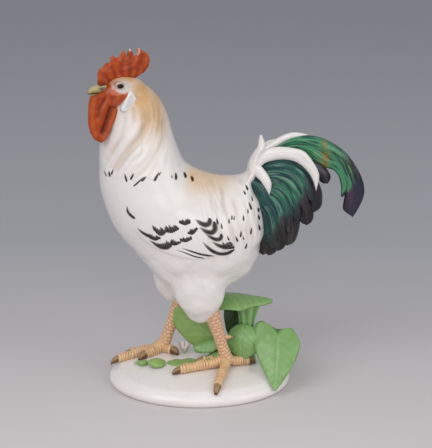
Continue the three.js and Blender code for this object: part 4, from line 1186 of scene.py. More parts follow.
def vane(outer, inner, level, thickness, steps, across, seed, ribs=1.0):
    """A feather between two edge lines in the XZ plane, with its share across and its streaks."""
    p = sizes()
    shares = np.linspace(0, 1, steps)
    first, second = evened(outer, steps), evened(inner, steps)
    middle, reach = (first + second) / 2, (first - second) / 2
    wide = np.linalg.norm(first - second, axis=1)
    t = np.linspace(-1, 1, across)
    t = np.r_[t, t[-2:0:-1]]
    face = np.r_[np.ones(across), -np.ones(across - 2)]
    flat = middle[:, None] + reach[:, None] * t[None, :, None]
    grid_s, grid_t = np.meshgrid(shares, t, indexing="ij")
    # Streaks run along the feather: lumps that are ten times as long as they are wide
    place = [grid_t * wide[:, None] / 2, grid_s * run_of(middle)[-1] / 10, 0 * grid_s + 3.7 * seed]
    place = np.stack(place, axis=-1).reshape(-1, 3)
    fine = lumps(place * [1, 1.2, 1], 0.62 * p.vane_lines, seed)
    broad = lumps(place, 1.9 * p.vane_lines, seed + 1)
    streak = (1.6 * fine + 1.0 * broad).reshape(grid_s.shape)
    crown = (1 - np.abs(grid_t) ** 2.4) ** 0.75
    rachis = bump(grid_t + 0.12, 0.09) * step(wide, 6, 9)[:, None]
    relief = p.vane_relief * streak * step(1 - np.abs(grid_t), 0.02, 0.2) * step(1 - grid_s, 0.0, 0.1)
    half_thick = along(thickness, shares)[:, None] / 2
    rise = half_thick * (0.12 + 0.88 * crown) + ribs * (1.3 * relief + 0.25 * rachis)
    depth = along(level, shares)[:, None] + face[None] * rise
    points, faces = tube(np.stack([flat[..., 0], depth, flat[..., 1]], axis=-1))
    return points, faces, np.r_[grid_t.ravel(), 0, 0], np.r_[streak.ravel(), 0, 0]


def feather(path, level, width, thickness, seed, steps=60, across=22):
    """A dark tail feather about a middle line, with a width at each share of its length."""
    line = evened(path, steps)
    half = along(width, np.linspace(0, 1, steps))[:, None] / 2
    to_end = run_of(line)[-1] * np.linspace(1, 0, steps)[:, None]
    half *= np.sqrt(np.clip(1 - (1 - np.clip(to_end / half, 0, 1)) ** 2, 0.004, 1))
    out = sideways(line) * half
    points, faces, _, streak = vane(line + out, line - out, level, thickness, steps, across, seed)
    return points, faces, tail_paint(points, streak)


def white_feather(outer, inner, level, thickness, steps, across, seed, ribs=0.3):
    """A white feather with a breath of grey between its lines."""
    points, faces, _, streak = vane(outer, inner, level, thickness, steps, across, seed, ribs)
    return points, faces, painted(plain(points, "white"), ("#C9C0B4", 0.22 * step(-streak, 0.4, 1.4)))


# Fan feathers from the rump to their scalloped ends: the width, then (x, z)
FAN = [
    (10, [(38, 150), (60, 163), (77, 161.5), (85, 157), (89.4, 149.5)]),
    (13, [(38, 149), (60, 157), (73, 152), (79.5, 142), (80.6, 128.8)]),
    (12, [(38, 146), (57, 151), (68, 143), (74, 132), (75.4, 119)]),
    (14, [(38, 142), (54, 145), (62, 135), (64, 121), (61.8, 104)]),
    (12, [(38, 136), (50, 136), (56, 125), (57.5, 113), (55, 100)]),
    (12, [(38, 130), (46, 127), (50, 117), (51, 108), (49, 96.6)]),
    (11, [(36, 126), (41, 116), (45, 107), (45, 97)]),
]

# Coverts on each side of the tail: the share of the side's fullness, then (x, z)
COVERTS = [
    (1.0, [(36, 153), (42, 149), (46, 140), (48, 124), (47.5, 108)]),
    (0.98, [(38, 140), (47, 134), (50.5, 123), (51.5, 104)]),
    (0.94, [(38, 143), (49, 141), (54.5, 130), (57.5, 110)]),
    (0.88, [(38, 147), (51, 147), (59, 137), (63, 115)]),
    (0.8, [(38, 151), (53, 152.5), (63, 143), (69, 123)]),
    (0.72, [(39, 155), (55, 158), (67, 150), (75, 130)]),
    (0.62, [(40, 158), (57, 162), (70, 156), (79, 138)]),
    (0.5, [(41, 160), (58, 166), (71.5, 160), (79.5, 148)]),
]

# The middle of the fan as (X, Z), round which its colours lie, and how far out they turn black at an
# angle in degrees
FAN_MIDDLE = (40, 150)
BLACK_ANGLES = [-95, -83, -73, -62, -43, -27, -17, -6, 10, 40]
BLACK_FROM = [39, 39, 37, 33, 32, 31, 34, 36, 38, 60]


def tail_paint(points, streak):
    """Teal and green streaks that turn black and purple towards the scalloped edge, with a painted
    highlight of pale green on the raised lines.
    """
    x, z = points[:, 0] - FAN_MIDDLE[0], points[:, 2] - FAN_MIDDLE[1]
    reach, turn = np.hypot(x, z), np.degrees(np.arctan2(z, x))
    band = bump(turn + 8, 26) * bump(reach - 24, 13)
    dark_at = np.interp(turn, BLACK_ANGLES, BLACK_FROM)
    dark = step(reach + 3.5 * streak + 2.5 * lumps(points, 6, 61), dark_at - 5, dark_at + 5)
    return painted(
        plain(points, "teal"),
        ("green", 0.85 * band * (0.6 + 0.5 * streak)),
        # Painted highlight on the raised lines in the middle of the fan
        ("#86BFA0", 0.42 * step(streak, 0.55, 1.0) * bump(reach - 26, 15)),
        ("teal", 0.7 * step(-streak, 0.3, 0.9) * (1 - dark), 0.3),
        ("black", dark),
        ("#5A5650", 0.4 * dark * step(streak, 0.3, 0.9)),
        ("purple", 0.7 * dark * step(streak, 0.1, 0.9) * step(turn, -60, -20)),
    )


# Edge lines of the long feathers, as (x, z)
SICKLE_OUTER = [
    (38, 160), (46, 170.5), (55, 177.5), (66.6, 183.2), (77.7, 183.5), (85.7, 181.6), (95, 176.8),
    (102.6, 170.4), (109, 161.4), (113.6, 152.3), (115.4, 143.8), (114.1, 136.6), (110.5, 128.8),
    (107.7, 124.5),
]
SICKLE_MIDDLE = [
    (40, 157), (48, 168), (56, 174), (66, 176.8), (76, 175.2), (85, 171.5), (92, 166.5), (97, 161),
    (100, 154), (101.6, 147), (101.4, 139.9), (100.5, 131), (102.6, 128), (107.3, 124.7),
]
SICKLE_INNER = [
    (42, 155), (50, 166), (57, 172), (65.5, 174.6), (71.7, 172.5), (76.7, 169.1), (81.1, 164),
    (87.4, 160.7), (93, 158.8), (96.8, 154.3), (98.8, 147.1), (99, 139.3),
]
SICKLE_UNDER = [
    (40, 157), (48, 169), (56, 175.5), (66, 179), (77, 178.5), (87, 174.5), (95, 168), (101, 158.5),
    (103.6, 148.5), (101, 139.8),
]
CRESCENT_OUTER = [
    (34, 157), (39, 168), (46.2, 176.2), (54.8, 178.3), (65.2, 177.3), (72.6, 174.8), (77.6, 169),
    (82.1, 161.3), (83.1, 155.5), (81.2, 146.4),
]
CRESCENT_INNER = [
    (36, 149), (40, 158), (44.5, 165.8), (53, 169), (61.6, 169), (68.4, 166.4), (74.1, 161.3),
    (77.9, 155.5), (80.3, 149), (81, 146.2),
]
PLUME_OUTER = [(36, 166), (38.5, 167), (42, 165.8), (46.7, 160.8), (49.9, 154.8), (49.8, 149), (48.4, 145)]
PLUME_INNER = [
    (35, 160.5), (36.5, 159.6), (38.6, 158), (42.4, 154.8), (45.4, 150.6), (47.4, 147), (48.2, 145),
]
SPIKE_LEFT = [(31, 152), (33, 159), (35.4, 164.6), (37.8, 169.6), (40.4, 175.5), (41.4, 180.6), (42.1, 184)]
SPIKE_RIGHT = [(46, 160), (46.4, 166), (46.8, 171.5), (46.2, 177), (44.8, 181.2), (43.7, 183.8)]
RIDGE_OUTER = [(36, 161), (45.1, 174.8), (53.1, 181.1), (61.6, 185.2), (67.8, 185.8), (75.4, 184.3)]
RIDGE_INNER = [(40, 160), (48, 172), (56, 177), (63, 181), (69, 182.8), (75.3, 184.1)]

# White feathers on each side: edges, distance from the middle, thickness, rows, columns and seed
SIDE_FEATHERS = [
    ("crescent", CRESCENT_OUTER, CRESCENT_INNER,
     (5, 8, 9.5, 9.5, 9, 8.5, 8), [8, 7, 6, 5.5, 5, 4.5, 1.5], 90, 34, 41),
    ("plume", PLUME_OUTER, PLUME_INNER,
     (6, 10.4, 13.2, 14, 13.4), [5, 6, 5.5, 4.5, 1.5], 60, 26, 42),
]


def sickle_paint(points, t, streak):
    """Grass green with dark lines, a purple-black end, an old ochre repair and a painted shadow along its
    inner edge low down.
    """
    x, _, z = points.T
    flat = points[:, [0, 2]]
    outer = from_line(flat, SICKLE_OUTER)[0]
    # A dark band along the outer edge that widens downwards and fills the tip
    edge = 6.5 + 9 * step(152 - z, 0, 14)
    dark = step(172 - z, -2, 8) * (1 - step(outer + 2 * streak, edge - 3, edge + 2))
    dark = np.clip(dark + step(144 - z + 2 * streak, 0, 6), 0, 1)
    magenta = bump(np.hypot((x - 105.5) / 3.6, (z - 140) / 9), 1.0)
    # The repair runs across the feather, with a rust-red spot at its lower end
    patch = from_line(flat, [(86.8, 178.3), (87.6, 170), (85.9, 162.3)])[0]
    speck = step(lumps(points, 1.1, 63) + 0.5 * step(176 - z, 0, 12), -0.05, 0.4)
    rust = bump(np.hypot(x - 85, (z - 163) * 1.4), 3.4)
    return painted(
        plain(points, "green"),
        ("teal", 0.75 * step(-streak, 0.0, 0.9)),
        ("vein", 0.3 * step(streak, 0.7, 1.3)),
        ("teal", 0.75 * step(-streak, 0.8, 1.4), 0.4),
        ("black", dark),
        ("purple", 0.85 * magenta * dark, 1.25),
        ("#2A2A48", 0.7 * bump(outer - 4, 4) * step(157 - z, 0, 8) * dark),
        ("repair", 0.9 * bump(patch, 3.2) * speck),
        ("comb", 0.7 * rust * step(lumps(points, 1.4, 64), -0.3, 0.2), 0.8),
        # Painted shadow along the inner edge, in the gap between the sickle and the fan
        ("black", 0.8 * step(-t, 0.62, 0.9) * step(163 - z, 0, 14) * step(x, 88, 96)),
        ("teal", 0.8 * step(np.abs(t), 0.9, 0.99), 0.3),
    )


class ROOSTER_OT_tail(bpy.types.Operator):
    """Builds the fan, the coverts, the sickle and the white plumes"""

    bl_idname = "rooster.tail"
    bl_label = "Tail"

    def execute(self, context):
        fan = []
        for k, (width, path) in enumerate(FAN):
            widths = [0.7 * width, 0.9 * width, width, width, 0.8 * width]
            fan.append(feather(path, [0, 0], widths, [17, 18, 14, 9, 5], k))
        make("tail_fan_feathers", joined(fan), "copper_green", "tail_enamel", "tail_fan")
        for name, side in SIDES.items():
            coverts = []
            for k, (fullness, path) in enumerate(COVERTS):
                level = [side * (v * fullness + 0.5 * (k % 2)) for v in (8.5, 11.5, 10.5, 8.5, 6.0)]
                coverts.append(feather(path, level, [7, 10, 10.5, 9.5, 5], [5, 5.5, 5, 4, 3], 20 + k))
            piece = f"coverts_ribbed_{name}"
            make(piece, joined(coverts), "copper_green", "covert_enamel", f"coverts_{name}")
            for kind, *edges, level, thick, steps, across, seed in SIDE_FEATHERS:
                form = white_feather(*edges, [side * v for v in level], thick, steps, across, seed)
                make(f"{kind}_ribbed_{name}", form, "white_porcelain", "white_glaze", f"{kind}_{name}")
        sickle = []
        for outer, inner, thick, seed in (
            (SICKLE_OUTER, SICKLE_MIDDLE, [6, 6, 6, 6, 5.5, 5, 3], 51),
            (SICKLE_UNDER, SICKLE_INNER, [4.6, 4.6, 4.6, 4.6, 4.2, 3.6, 2], 52),
        ):
            points, faces, *marks = vane(outer, inner, [0, 0], thick, 130, 44, seed)
            sickle.append((points, faces, sickle_paint(points, *marks)))
        make("sickle_streaked", joined(sickle), "copper_green", "sickle_enamel", "sickle_green")
        form = white_feather(RIDGE_OUTER, RIDGE_INNER, [0, 0], [7, 6.5, 5.5, 4, 1.5], 80, 24, 53)
        make("sickle_ridge_white", form, "white_porcelain", "white_glaze", "sickle_white")
        form = white_feather(SPIKE_LEFT, SPIKE_RIGHT, [0, 0], [13, 14, 11, 6, 2.8], 60, 30, 54, 0.25)
        make("tail_spike_white", form, "white_porcelain", "white_glaze", "tail_spike")
        return {"FINISHED"}


# Legs


SHANK_DIAMETER, TOE_DIAMETER, CLAW_LENGTH, HEEL_HEIGHT = 9.4, 7.6, 6, 6
SPUR_LENGTH, SPUR_DIAMETER = 9, 4.4

# Toes: the heading in degrees and the length
LEFT_TOES = {"middle": (200, 36), "outer": (258, 34), "inner": (178, 17), "hind": (20, 16)}
RIGHT_TOES = {"middle": (199, 34.2), "outer": (186, 23.8), "inner": (222, 17), "hind": (-42, 9.6)}
FEET = {"left": (LEFT_HEEL, LEFT_TOES), "right": (RIGHT_HEEL, RIGHT_TOES)}


def shank_path(thigh, heel):
    """The middle of a shank, from inside the thigh to the heel."""
    top = thigh_point(thigh, 0.72) + [0.14 * THIGH_DEPTH, 0, 0]
    foot = np.array([heel[0], heel[1], float(ground(*heel)) + 0.6 * HEEL_HEIGHT])
    return [top, top + 0.33 * (foot - top), top + 0.7 * (foot - top), foot]


def scaled(run, angle, radius, row, columns):
    """Distance of each point from the nearest gap between scales, in rows that are set like bricks."""
    index = np.floor(run / row)
    within = run / row - index
    across = (angle / math.tau * columns + 0.5 * (index % 2)) % 1
    in_row = np.minimum(within, 1 - within) * row
    in_column = np.minimum(across, 1 - across) * math.tau * radius / columns
    bow = 0.35 * row * (2 * np.abs(across - 0.5)) ** 2
    return np.minimum(np.abs(in_row - 0.3 * bow), in_column)


def shank_form(thigh, heel):
    """A scaled shank."""
    p = sizes()
    radii = [s * SHANK_DIAMETER / 2 for s in (1.2, 1.1, 0.9, 0.84, 1.05)]
    points, faces, run, angle = bar(shank_path(thigh, heel), radii, 150, 80)
    run = run + 0.7 * lumps(points, 5, 74)
    angle = angle + 0.25 * lumps(points, 4, 75)
    gap = scaled(run, angle, SHANK_DIAMETER / 2, p.scale_rows, 7)
    points = raised(points, faces, p.scale_relief * (step(gap, 0.0, 0.75) - 0.6))
    paint = painted(
        plain(points, "leg"),
        ("toe", 0.25 + 0.4 * lumps(points, 6, 71)),
        ("#F3DCC2", 0.3 * step(gap, 0.6, 1.1)),
        ("leg_line", 0.5 * (1 - step(gap, 0.05, 0.6))),
    )
    return points, faces, paint


# A toe from heel to claw: share of its length, then its radius and its middle's height as shares of
# the toe's diameter. It swells at its knuckles.
TOE = [
    [0.0, 0.5, 0.95], [0.1, 0.49, 0.72], [0.2, 0.46, 0.5], [0.34, 0.42, 0.42], [0.48, 0.47, 0.47],
    [0.62, 0.39, 0.4], [0.74, 0.43, 0.44], [0.84, 0.36, 0.4], [0.93, 0.3, 0.34], [0.985, 0.18, 0.2],
]

# Headings in degrees between which a toe points at the viewer: its cross scales are longer
TOE_AHEAD = (225, 300)


def toe_form(heel, heading, reach):
    """A toe with cross scales, knuckles and a horn claw."""
    p = sizes()
    whole = reach + CLAW_LENGTH
    count, sides = max(50, int(3.4 * whole)), 30
    rows = along(TOE, np.linspace(0, 1, count))
    direction, across, _ = spun(math.radians(heading)).T
    centres = np.array([[*heel, 0]]) + rows[:, :1] * whole * direction
    centres[:, 2] = ground(centres[:, 0], centres[:, 1]) + rows[:, 2] * TOE_DIAMETER
    radius = rows[:, 1:2] * TOE_DIAMETER
    points, faces = loft(centres, across * radius, [0, 0, 1.05] * radius, sides)
    share, angle = np.r_[np.repeat(rows[:, 0], sides), 0, 1], ring_angles(sides, count)
    claw_at = 1 - CLAW_LENGTH / whole
    horn = step(share, claw_at - 0.004, claw_at + 0.006)
    cuff = bump((share - claw_at) * whole + 0.6, 0.6)
    row = p.toe_rows * (1.35 if TOE_AHEAD[0] < heading < TOE_AHEAD[1] else 1)
    run = share * whole + 0.35 * lumps(points, 5, 73)
    run += 0.9 * lumps(points * [1, 1, 0.5], 3.5, 76)
    gap = np.minimum(run % row, row - run % row)
    gap = np.minimum(gap, 0.5 * np.abs(np.sin(angle) + 0.1) * TOE_DIAMETER)
    height = step(gap, 0.0, 0.55) - 0.6
    points = raised(points, faces, 0.8 * p.scale_relief * height * (1 - horn) + 0.2 * cuff - 0.2 * horn)
    paint = painted(
        plain(points, "toe"),
        ("leg", 0.5 + 0.5 * lumps(points, 5, 72)),
        ("toe_line", (0.55 + 0.3 * lumps(points, 4, 77)) * (1 - step(gap, 0.1, 0.5))),
        ("#F0DDB8", 0.3 * cuff),
    )
    # Painted highlight on the upper sides of the claw
    claw = painted(plain(points, "claw"), ("toe", 0.35 * bump(np.sin(angle) - 0.8, 0.4)))
    return points, faces, mixed(paint, claw, horn)


def spur_form(thigh, heel):
    """A horn spur at the back of the shank."""
    path = shank_path(thigh, heel)
    root = (path[1] + path[2]) / 2
    out = np.array([0.75, thigh[0] * -0.4, -0.25])
    out /= np.linalg.norm(out)
    start = root + 0.2 * SHANK_DIAMETER * out
    end = root + (SHANK_DIAMETER / 2 + 0.75 * SPUR_LENGTH) * out
    line = [start, (start + end) / 2 + [0, 0, -0.4], end]
    points, faces, run, _ = bar(line, [s * SPUR_DIAMETER for s in (0.5, 0.38, 0.12)], 30, 24)
    horn = 0.9 if thigh[0] > 0 else 0.5
    return points, faces, painted(plain(points, "leg"), ("claw", horn * step(run / run.max(), 0.7, 0.9)))


class ROOSTER_OT_legs(bpy.types.Operator):
    """Builds the scaled shanks, toes, claws and spurs"""

    bl_idname = "rooster.legs"
    bl_label = "Legs"

    def execute(self, context):
        for name, (heel, toes) in FEET.items():
            thigh = THIGHS[name]
            for kind, form in (("shank", shank_form), ("spur", spur_form)):
                make(f"{kind}_scaled_{name}", form(thigh, heel), "flesh", "leg_enamel", f"{kind}_{name}")
            for toe, place in toes.items():
                node = f"toe_{name}_{toe}"
                make(f"toe_scaled_{name}_{toe}", toe_form(heel, *place), "flesh", "leg_enamel", node)
        return {"FINISHED"}


# Plants


STEM_FOOT = np.array([34, 5, float(ground(34, 5))])
STEM_HEIGHT, STEM_WAIST, PETIOLE = 44, 11, 5
HEART_ROOT = STEM_FOOT + [22.5, -13, 0.5 * STEM_HEIGHT]


def on_ground(x, y, lift):
    """A place over the mound's top."""
    return np.array([x, y, float(ground(x, y)) + lift])


def by_stem(x, y, share):
    """A place beside the stem, at a share of its height."""
    return STEM_FOOT + [x, y, share * STEM_HEIGHT]


# Widths of a leaf from root to tip, as shares of the greatest
ROUND_LEAF = [0.6, 0.92, 1, 1, 0.95, 0.8, 0.35]
OVAL_LEAF = [0.25, 0.7, 0.95, 1, 0.85, 0.5, 0.06]

# How far the leaf green turns yellow on the fresh leaves, and on the others
FRESH, OLD = 0.4, 0.08


def leaf(
    root, azimuth, climb, bend, long, width, widths=ROUND_LEAF, roll=0, cup=-0.2, lobe=0, ear=0, fresh=OLD
):
    """A leaf's root, angles in degrees, size in mm, widths, cup, length of lobe and ear, and freshness."""
    return SimpleNamespace(**locals())


LEAVES = {
    "leaf_top": leaf(
        by_stem(-21, 4, 1) + [0, 0, 5], -9, 3, 14, 40, 36, [0.95, 1, 0.97, 0.86, 0.66, 0.4, 0.05], -12, -0.5
    ),
    "leaf_fold": leaf(by_stem(-2, -4, 0.64), -106, -34, 84, 26, 22, [0.6, 0.9, 1, 1, 1, 0.9, 0.5], 0, -0.3),
    "leaf_heart": leaf(
        HEART_ROOT, -97, -46, 12, 38.5, 31, [0.74, 1, 0.95, 0.8, 0.58, 0.32, 0.05], 0, -0.12, 8, 6
    ),
    "leaf_upright": leaf(by_stem(-22, 6, 0.28), 176, 38, -14, 38, 27, roll=-70, cup=-0.3, fresh=FRESH),
    "leaf_rolled": leaf(by_stem(-15, -1, 0.42), 188, -12, 12, 25, 13, cup=-0.9),
    "leaf_low": leaf(by_stem(-14, -4, 0.22), 200, -12, 10, 28, 17, roll=20, cup=-0.3),
    "leaf_ground": leaf(on_ground(-1, -6, 1.2), 172, -4, 4, 22, 13, fresh=FRESH),
    "leaf_bud": leaf(on_ground(-25, -6, 1.8), 196, 34, 60, 13, 11, cup=-0.6, fresh=FRESH),
    "leaf_small": leaf(on_ground(-37, -4, 1.4), 182, 6, 12, 8, 5, OVAL_LEAF, fresh=FRESH),
    "leaf_rear": leaf(on_ground(31, 4, 5), -24, 26, 10, 16, 12),
}

# A dark sheet of painted shadow behind the stem, which stands for no part of its own
SHEATH_WIDTHS, SHEATH_SHADE = [0.9, 1, 1, 1, 0.9, 0.8, 0.5], 0.22
SHEATH = leaf(by_stem(-10, 8, 1) - [0, 0, 3], 90, -84, 0, 27, 13, SHEATH_WIDTHS, cup=0.4, fresh=0)


def turned(vectors, axes, degrees):
    """Vectors turned about axes."""
    angle = math.radians(degrees)
    dots = np.einsum("ij,ij->i", axes, vectors)[:, None]
    cosine, sine = math.cos(angle), math.sin(angle)
    return vectors * cosine + np.cross(axes, vectors) * sine + axes * dots * (1 - cosine)


def leaf_form(spec, seed, rows=64, columns=37):
    """A veined leaf with a soft wave in its edge."""
    long, shares = spec.long, np.linspace(0, 1, rows)
    heading, flat, up = spun(math.radians(spec.azimuth)).T
    rise = np.radians(spec.climb - spec.bend * shares)[:, None]
    ahead = heading * np.cos(rise) + up * np.sin(rise)
    across = turned(np.repeat(flat[None], rows, axis=0), ahead, spec.roll)
    normal = np.cross(ahead, across)
    middle = spec.root + np.vstack([np.zeros(3), np.cumsum(ahead[:-1] * long / (rows - 1), axis=0)])
    half = (along(spec.widths, shares) * spec.width / 2)[:, None]
    s, t = np.meshgrid(shares, np.linspace(-1, 1, columns), indexing="ij")

    # The sheet: its ears reach back past the root, its sides cup and its edge waves
    one_ear = spec.ear * np.minimum(t, 0)
    reach = half * t + one_ear * (1 - s) ** 3
    back = -(spec.lobe - one_ear) * np.sin(np.radians(135) * np.abs(t)) * (1 - s) ** 2
    wave = 0.5 * np.sin(math.tau * (2.2 * s + 0.3 * seed) + 2 * t) * np.abs(t) ** 3 * (long / 30)
    sheet = (
        middle[:, None]
        + across[:, None] * reach[..., None]
        + normal[:, None] * (spec.cup * half * t**2 + wave)[..., None]
        + ahead[:, None] * back[..., None]
    )

    # A midrib and side veins that leave it at about 50 degrees, finer on a small leaf
    run = s * long + back
    veins = bump(np.abs(reach), 0.5 + 0.3 * (1 - s))
    for start in np.arange(0.13, 0.8, 0.155):
        offset = np.abs((run - start * long) - 0.85 * np.abs(reach)) / 1.31
        veins = np.maximum(veins, 0.6 * bump(offset, 0.4) * step(run, start * long - 0.5, start * long + 1))
    veins *= min(1, long / 30)
    place = np.stack([run, reach, 0 * run + seed], axis=-1).reshape(-1, 3)
    puff = 0.22 * lumps(place, 5, seed).reshape(run.shape)
    edge = step(1 - np.abs(t), 0, 0.12)
    face = sizes().leaf_thickness / 2 * (0.4 + 0.6 * edge) + 1.5 * puff * edge
    upper = sheet + normal[:, None] * (face - 0.3 * veins)[..., None]
    lower = sheet - normal[:, None] * (face * 0.8 + 0.2 * veins)[..., None]
    points, faces = tube(around(upper, lower))
    vein = np.r_[around(veins, 0.7 * veins).ravel(), 0, 0] * min(1, long / 30)
    paint = painted(
        plain(points, "leaf"),
        ("leaf_dark", 0.3 * cloud(points, 9, 80 + seed)),
        # Painted shade along the midrib, where the leaf folds
        ("leaf_dark", 0.25 * bump(np.r_[around(reach, reach).ravel(), 0, 0], 1.8)),
        ("vein", 0.5 * vein),
        ("#A9BC66", spec.fresh),
    )
    return points, faces, paint


def fluted(points, faces, flute, depths, seed, size, dark, light):
    """A stalk with its flutes raised, with painted shade in their grooves and painted highlight on their
    crests.
    """
    points = raised(points, faces, depths[0] * flute + depths[1] * lumps(points, size, seed))
    paint = painted(
        plain(points, "leaf"),
        ("leaf_dark", dark[0] * step(-flute, dark[1], 1)),
        ("vein", light[0] * step(flute, light[1], 1)),
    )
    return points, faces, paint


def stalk_form(path, radii, seed):
    """A green stalk with shallow flutes."""
    points, faces, run, angle = bar(path, [s * PETIOLE / 2 for s in radii], 60, 48)
    flute = np.sin(5 * angle + 0.05 * run * seed)
    return fluted(points, faces, flute, (0.25, 0.25), seed, 4, (0.5, 0.2), (0.35, 0.4))


def stem_form():
    """The waisted stem and the leaf stalk that leaves it."""
    rows = [[-0.05, 1.5], [0.12, 1.15], [0.4, 0.85], [0.62, 0.9], [0.85, 1.25], [1.02, 1.7]]
    shares = np.linspace(0, 1, 60)
    table = along(rows, shares)
    lean = 2 * shares - 1
    centres = STEM_FOOT + np.stack([lean, 0 * lean, table[:, 0] * STEM_HEIGHT], axis=1)
    across = table[:, 1:] * STEM_WAIST / 2 * [[1, 0, 0]]
    through = table[:, 1:] * STEM_WAIST * 0.4 * [[0, 1, 0]]
    points, faces = loft(centres, across, through, 56)
    flute = np.sin(7 * ring_angles(56, 60) + 0.08 * points[:, 2])
    stem = fluted(points, faces, flute, (0.4, 0.3), 91, 5, (0.55, 0.1), (0.4, 0.5))
    petiole = stalk_form([by_stem(0, 0, 0.46), by_stem(12, -6, 0.54), HEART_ROOT], (1.2, 1, 0.4), 2)
    return joined([stem, petiole])


def side_stalk_form():
    """The stalk that carries the upright and the rolled leaf."""
    foot = on_ground(10, 11, -2)
    return stalk_form([foot, foot + [2, 0.5, 9], by_stem(-21, 6, 0.34)], (1.4, 1.1, 0.8), 3)


FLOWER_PLACE, FLOWER_DIAMETER, FLOWER_HEIGHT, PETALS = (-11, 14), 9, 7, 5
FALLEN_PETAL, FALLEN_SIZE = (-47.4, -1.3, 0.2), 0.62


def flower_form():
    """A small open flower, and a petal that lies at the mound's edge."""
    parts = []
    s, t = np.meshgrid(np.linspace(0, 1, 24), np.linspace(-1, 1, 17), indexing="ij")
    half = 2.9 * np.sin(math.pi * np.clip(0.12 + 0.8 * s, 0, 1)) ** 0.7
    out = FLOWER_DIAMETER / 2 * (0.1 + 0.95 * s**0.8)
    rise = FLOWER_HEIGHT * (0.15 + 0.8 * s**0.9) + 0.7 * t**2 * s
    sheet = np.stack([out, half * t, rise], axis=-1)
    rings = around(sheet + [0, 0, 0.45], sheet - [0, 0, 0.45])
    share = np.r_[around(s, s).ravel(), 0, 1]
    middle = np.r_[around(t, t).ravel(), 0, 0]
    for k in range(PETALS):
        points, faces = tube(rings @ spun(math.tau * k / PETALS + 0.3).T)
        paint = painted(
            plain(points, "petal"),
            ("vein", 0.7 * (1 - step(share, 0.1, 0.6))),
            ("petal_dark", 0.8 * bump(middle, 0.16) * step(share, 0.3, 0.6)),
        )
        parts.append((points + on_ground(*FLOWER_PLACE, 0), faces, paint))
        if k == 0:
            parts.append((points * FALLEN_SIZE + on_ground(*FALLEN_PETAL), faces, paint))
    return joined(parts)


class ROOSTER_OT_plants(bpy.types.Operator):
    """Builds the stem, the stalks, the veined leaves and the flower"""

    bl_idname = "rooster.plants"
    bl_label = "Plants"

    def execute(self, context):
        for seed, (name, spec) in enumerate(LEAVES.items()):
            make(f"{name}_veined", leaf_form(spec, seed), "leaf_green", "leaf_enamel", name)
        # A dark sheet of painted shadow in the hollow behind the stem
        points, faces, paint = leaf_form(SHEATH, 11)
        make("shadow_sheet_painted", (points, faces, SHEATH_SHADE * paint), "leaf_green", "leaf_enamel")
        make("plant_stem_fluted", stem_form(), "leaf_green", "leaf_enamel", "plant_stem")
        make("side_stalk_fluted", side_stalk_form(), "leaf_green", "leaf_enamel", "side_stalk")
        make("flower_petals", flower_form(), "leaf_green", "blossom_enamel", "flower")
        return {"FINISHED"}


# Mound


# Radius of the mound's rounded rim
RIM_RADIUS = 3.6


def round_rings(profile, squeeze, sides):
    """Rings round the Z axis from a profile of radii and heights, squeezed in Y."""
    x, y = np.cos(ring_angles(sides)), squeeze * np.sin(ring_angles(sides))
    return [np.stack([r * x, r * y, 0 * x + z], axis=1) for r, z in profile]


class ROOSTER_OT_mound(bpy.types.Operator):
    """Builds the glazed mound"""

    bl_idname = "rooster.mound"
    bl_label = "Mound"

    def execute(self, context):
        half = BASE_LENGTH / 2
        profile = [(0.1, 0), (0.5 * half, 0), (half - RIM_RADIUS - 0.6, 0)]
        for turn in np.radians(np.linspace(-85, 50, 14)):
            profile.append((half - RIM_RADIUS * (1 - math.cos(turn)), RIM_RADIUS * (1 + math.sin(turn))))
        rim_r, rim_z = profile[-1]
        for r in half * np.linspace(0.97, 0.01, 50):
            profile.append((r, min(float(ground(r, 0)), rim_z + (rim_r - r) ** 0.8)))
        points, faces = tube(round_rings(profile, BASE_WIDTH / BASE_LENGTH, 150))
        top = step(points[:, 2], 3, 8)
        points[:, 2] += top * (0.5 * lumps(points, 20, 95) + 0.12 * lumps(points, 7, 96))
        paint = painted(plain(points, "mound"), ("#D9CFC6", 0.25 * cloud(points, 18, 97)))
        make("mound_glazed", (points, faces, paint), "white_porcelain", "mound_glaze", "base")
        return {"FINISHED"}


# Stage


# Camera: distance in mm, degrees above the horizon and aim, then the frame's longer side and the focal
# length in pixels
CAMERA_DISTANCE, CAMERA_RISE, CAMERA_AIM = 1150, 19, (11.96, 0, 119.2)
PHOTO_HEIGHT, PHOTO_FOCUS, SENSOR = 448, 1640, 36
FLOOR_RADIUS, FLOOR_DEPTH = 6000, 4


def add_camera():
    """The camera at the photograph's angle."""
    data = bpy.data.cameras.new("camera")
    data.sensor_fit = "AUTO"
    data.sensor_width = SENSOR
    data.lens = PHOTO_FOCUS / PHOTO_HEIGHT * SENSOR
    data.clip_start, data.clip_end = 0.05, 30
    camera = bpy.data.objects.new("camera", data)
    rise = math.radians(CAMERA_RISE)
    aim = Vector(CAMERA_AIM) * MM
    camera.location = aim + Vector((0, -math.cos(rise), math.sin(rise))) * CAMERA_DISTANCE * MM
    camera.rotation_euler = (aim - camera.location).to_track_quat("-Z", "Y").to_euler()
    bpy.context.scene.collection.objects.link(camera)
    bpy.context.scene.camera = camera


def add_light(name, size, power, place, aim=(0, 0, 0.12)):
    """A white softbox that looks at the figure, placed in metres."""
    data = bpy.data.lights.new(name, "AREA")
    data.shape = "RECTANGLE"
    data.size, data.size_y = size
    data.energy = power
    light = bpy.data.objects.new(name, data)
    light.location = place
    light.rotation_euler = (Vector(aim) - Vector(place)).to_track_quat("-Z", "Y").to_euler()
    bpy.context.scene.collection.objects.link(light)


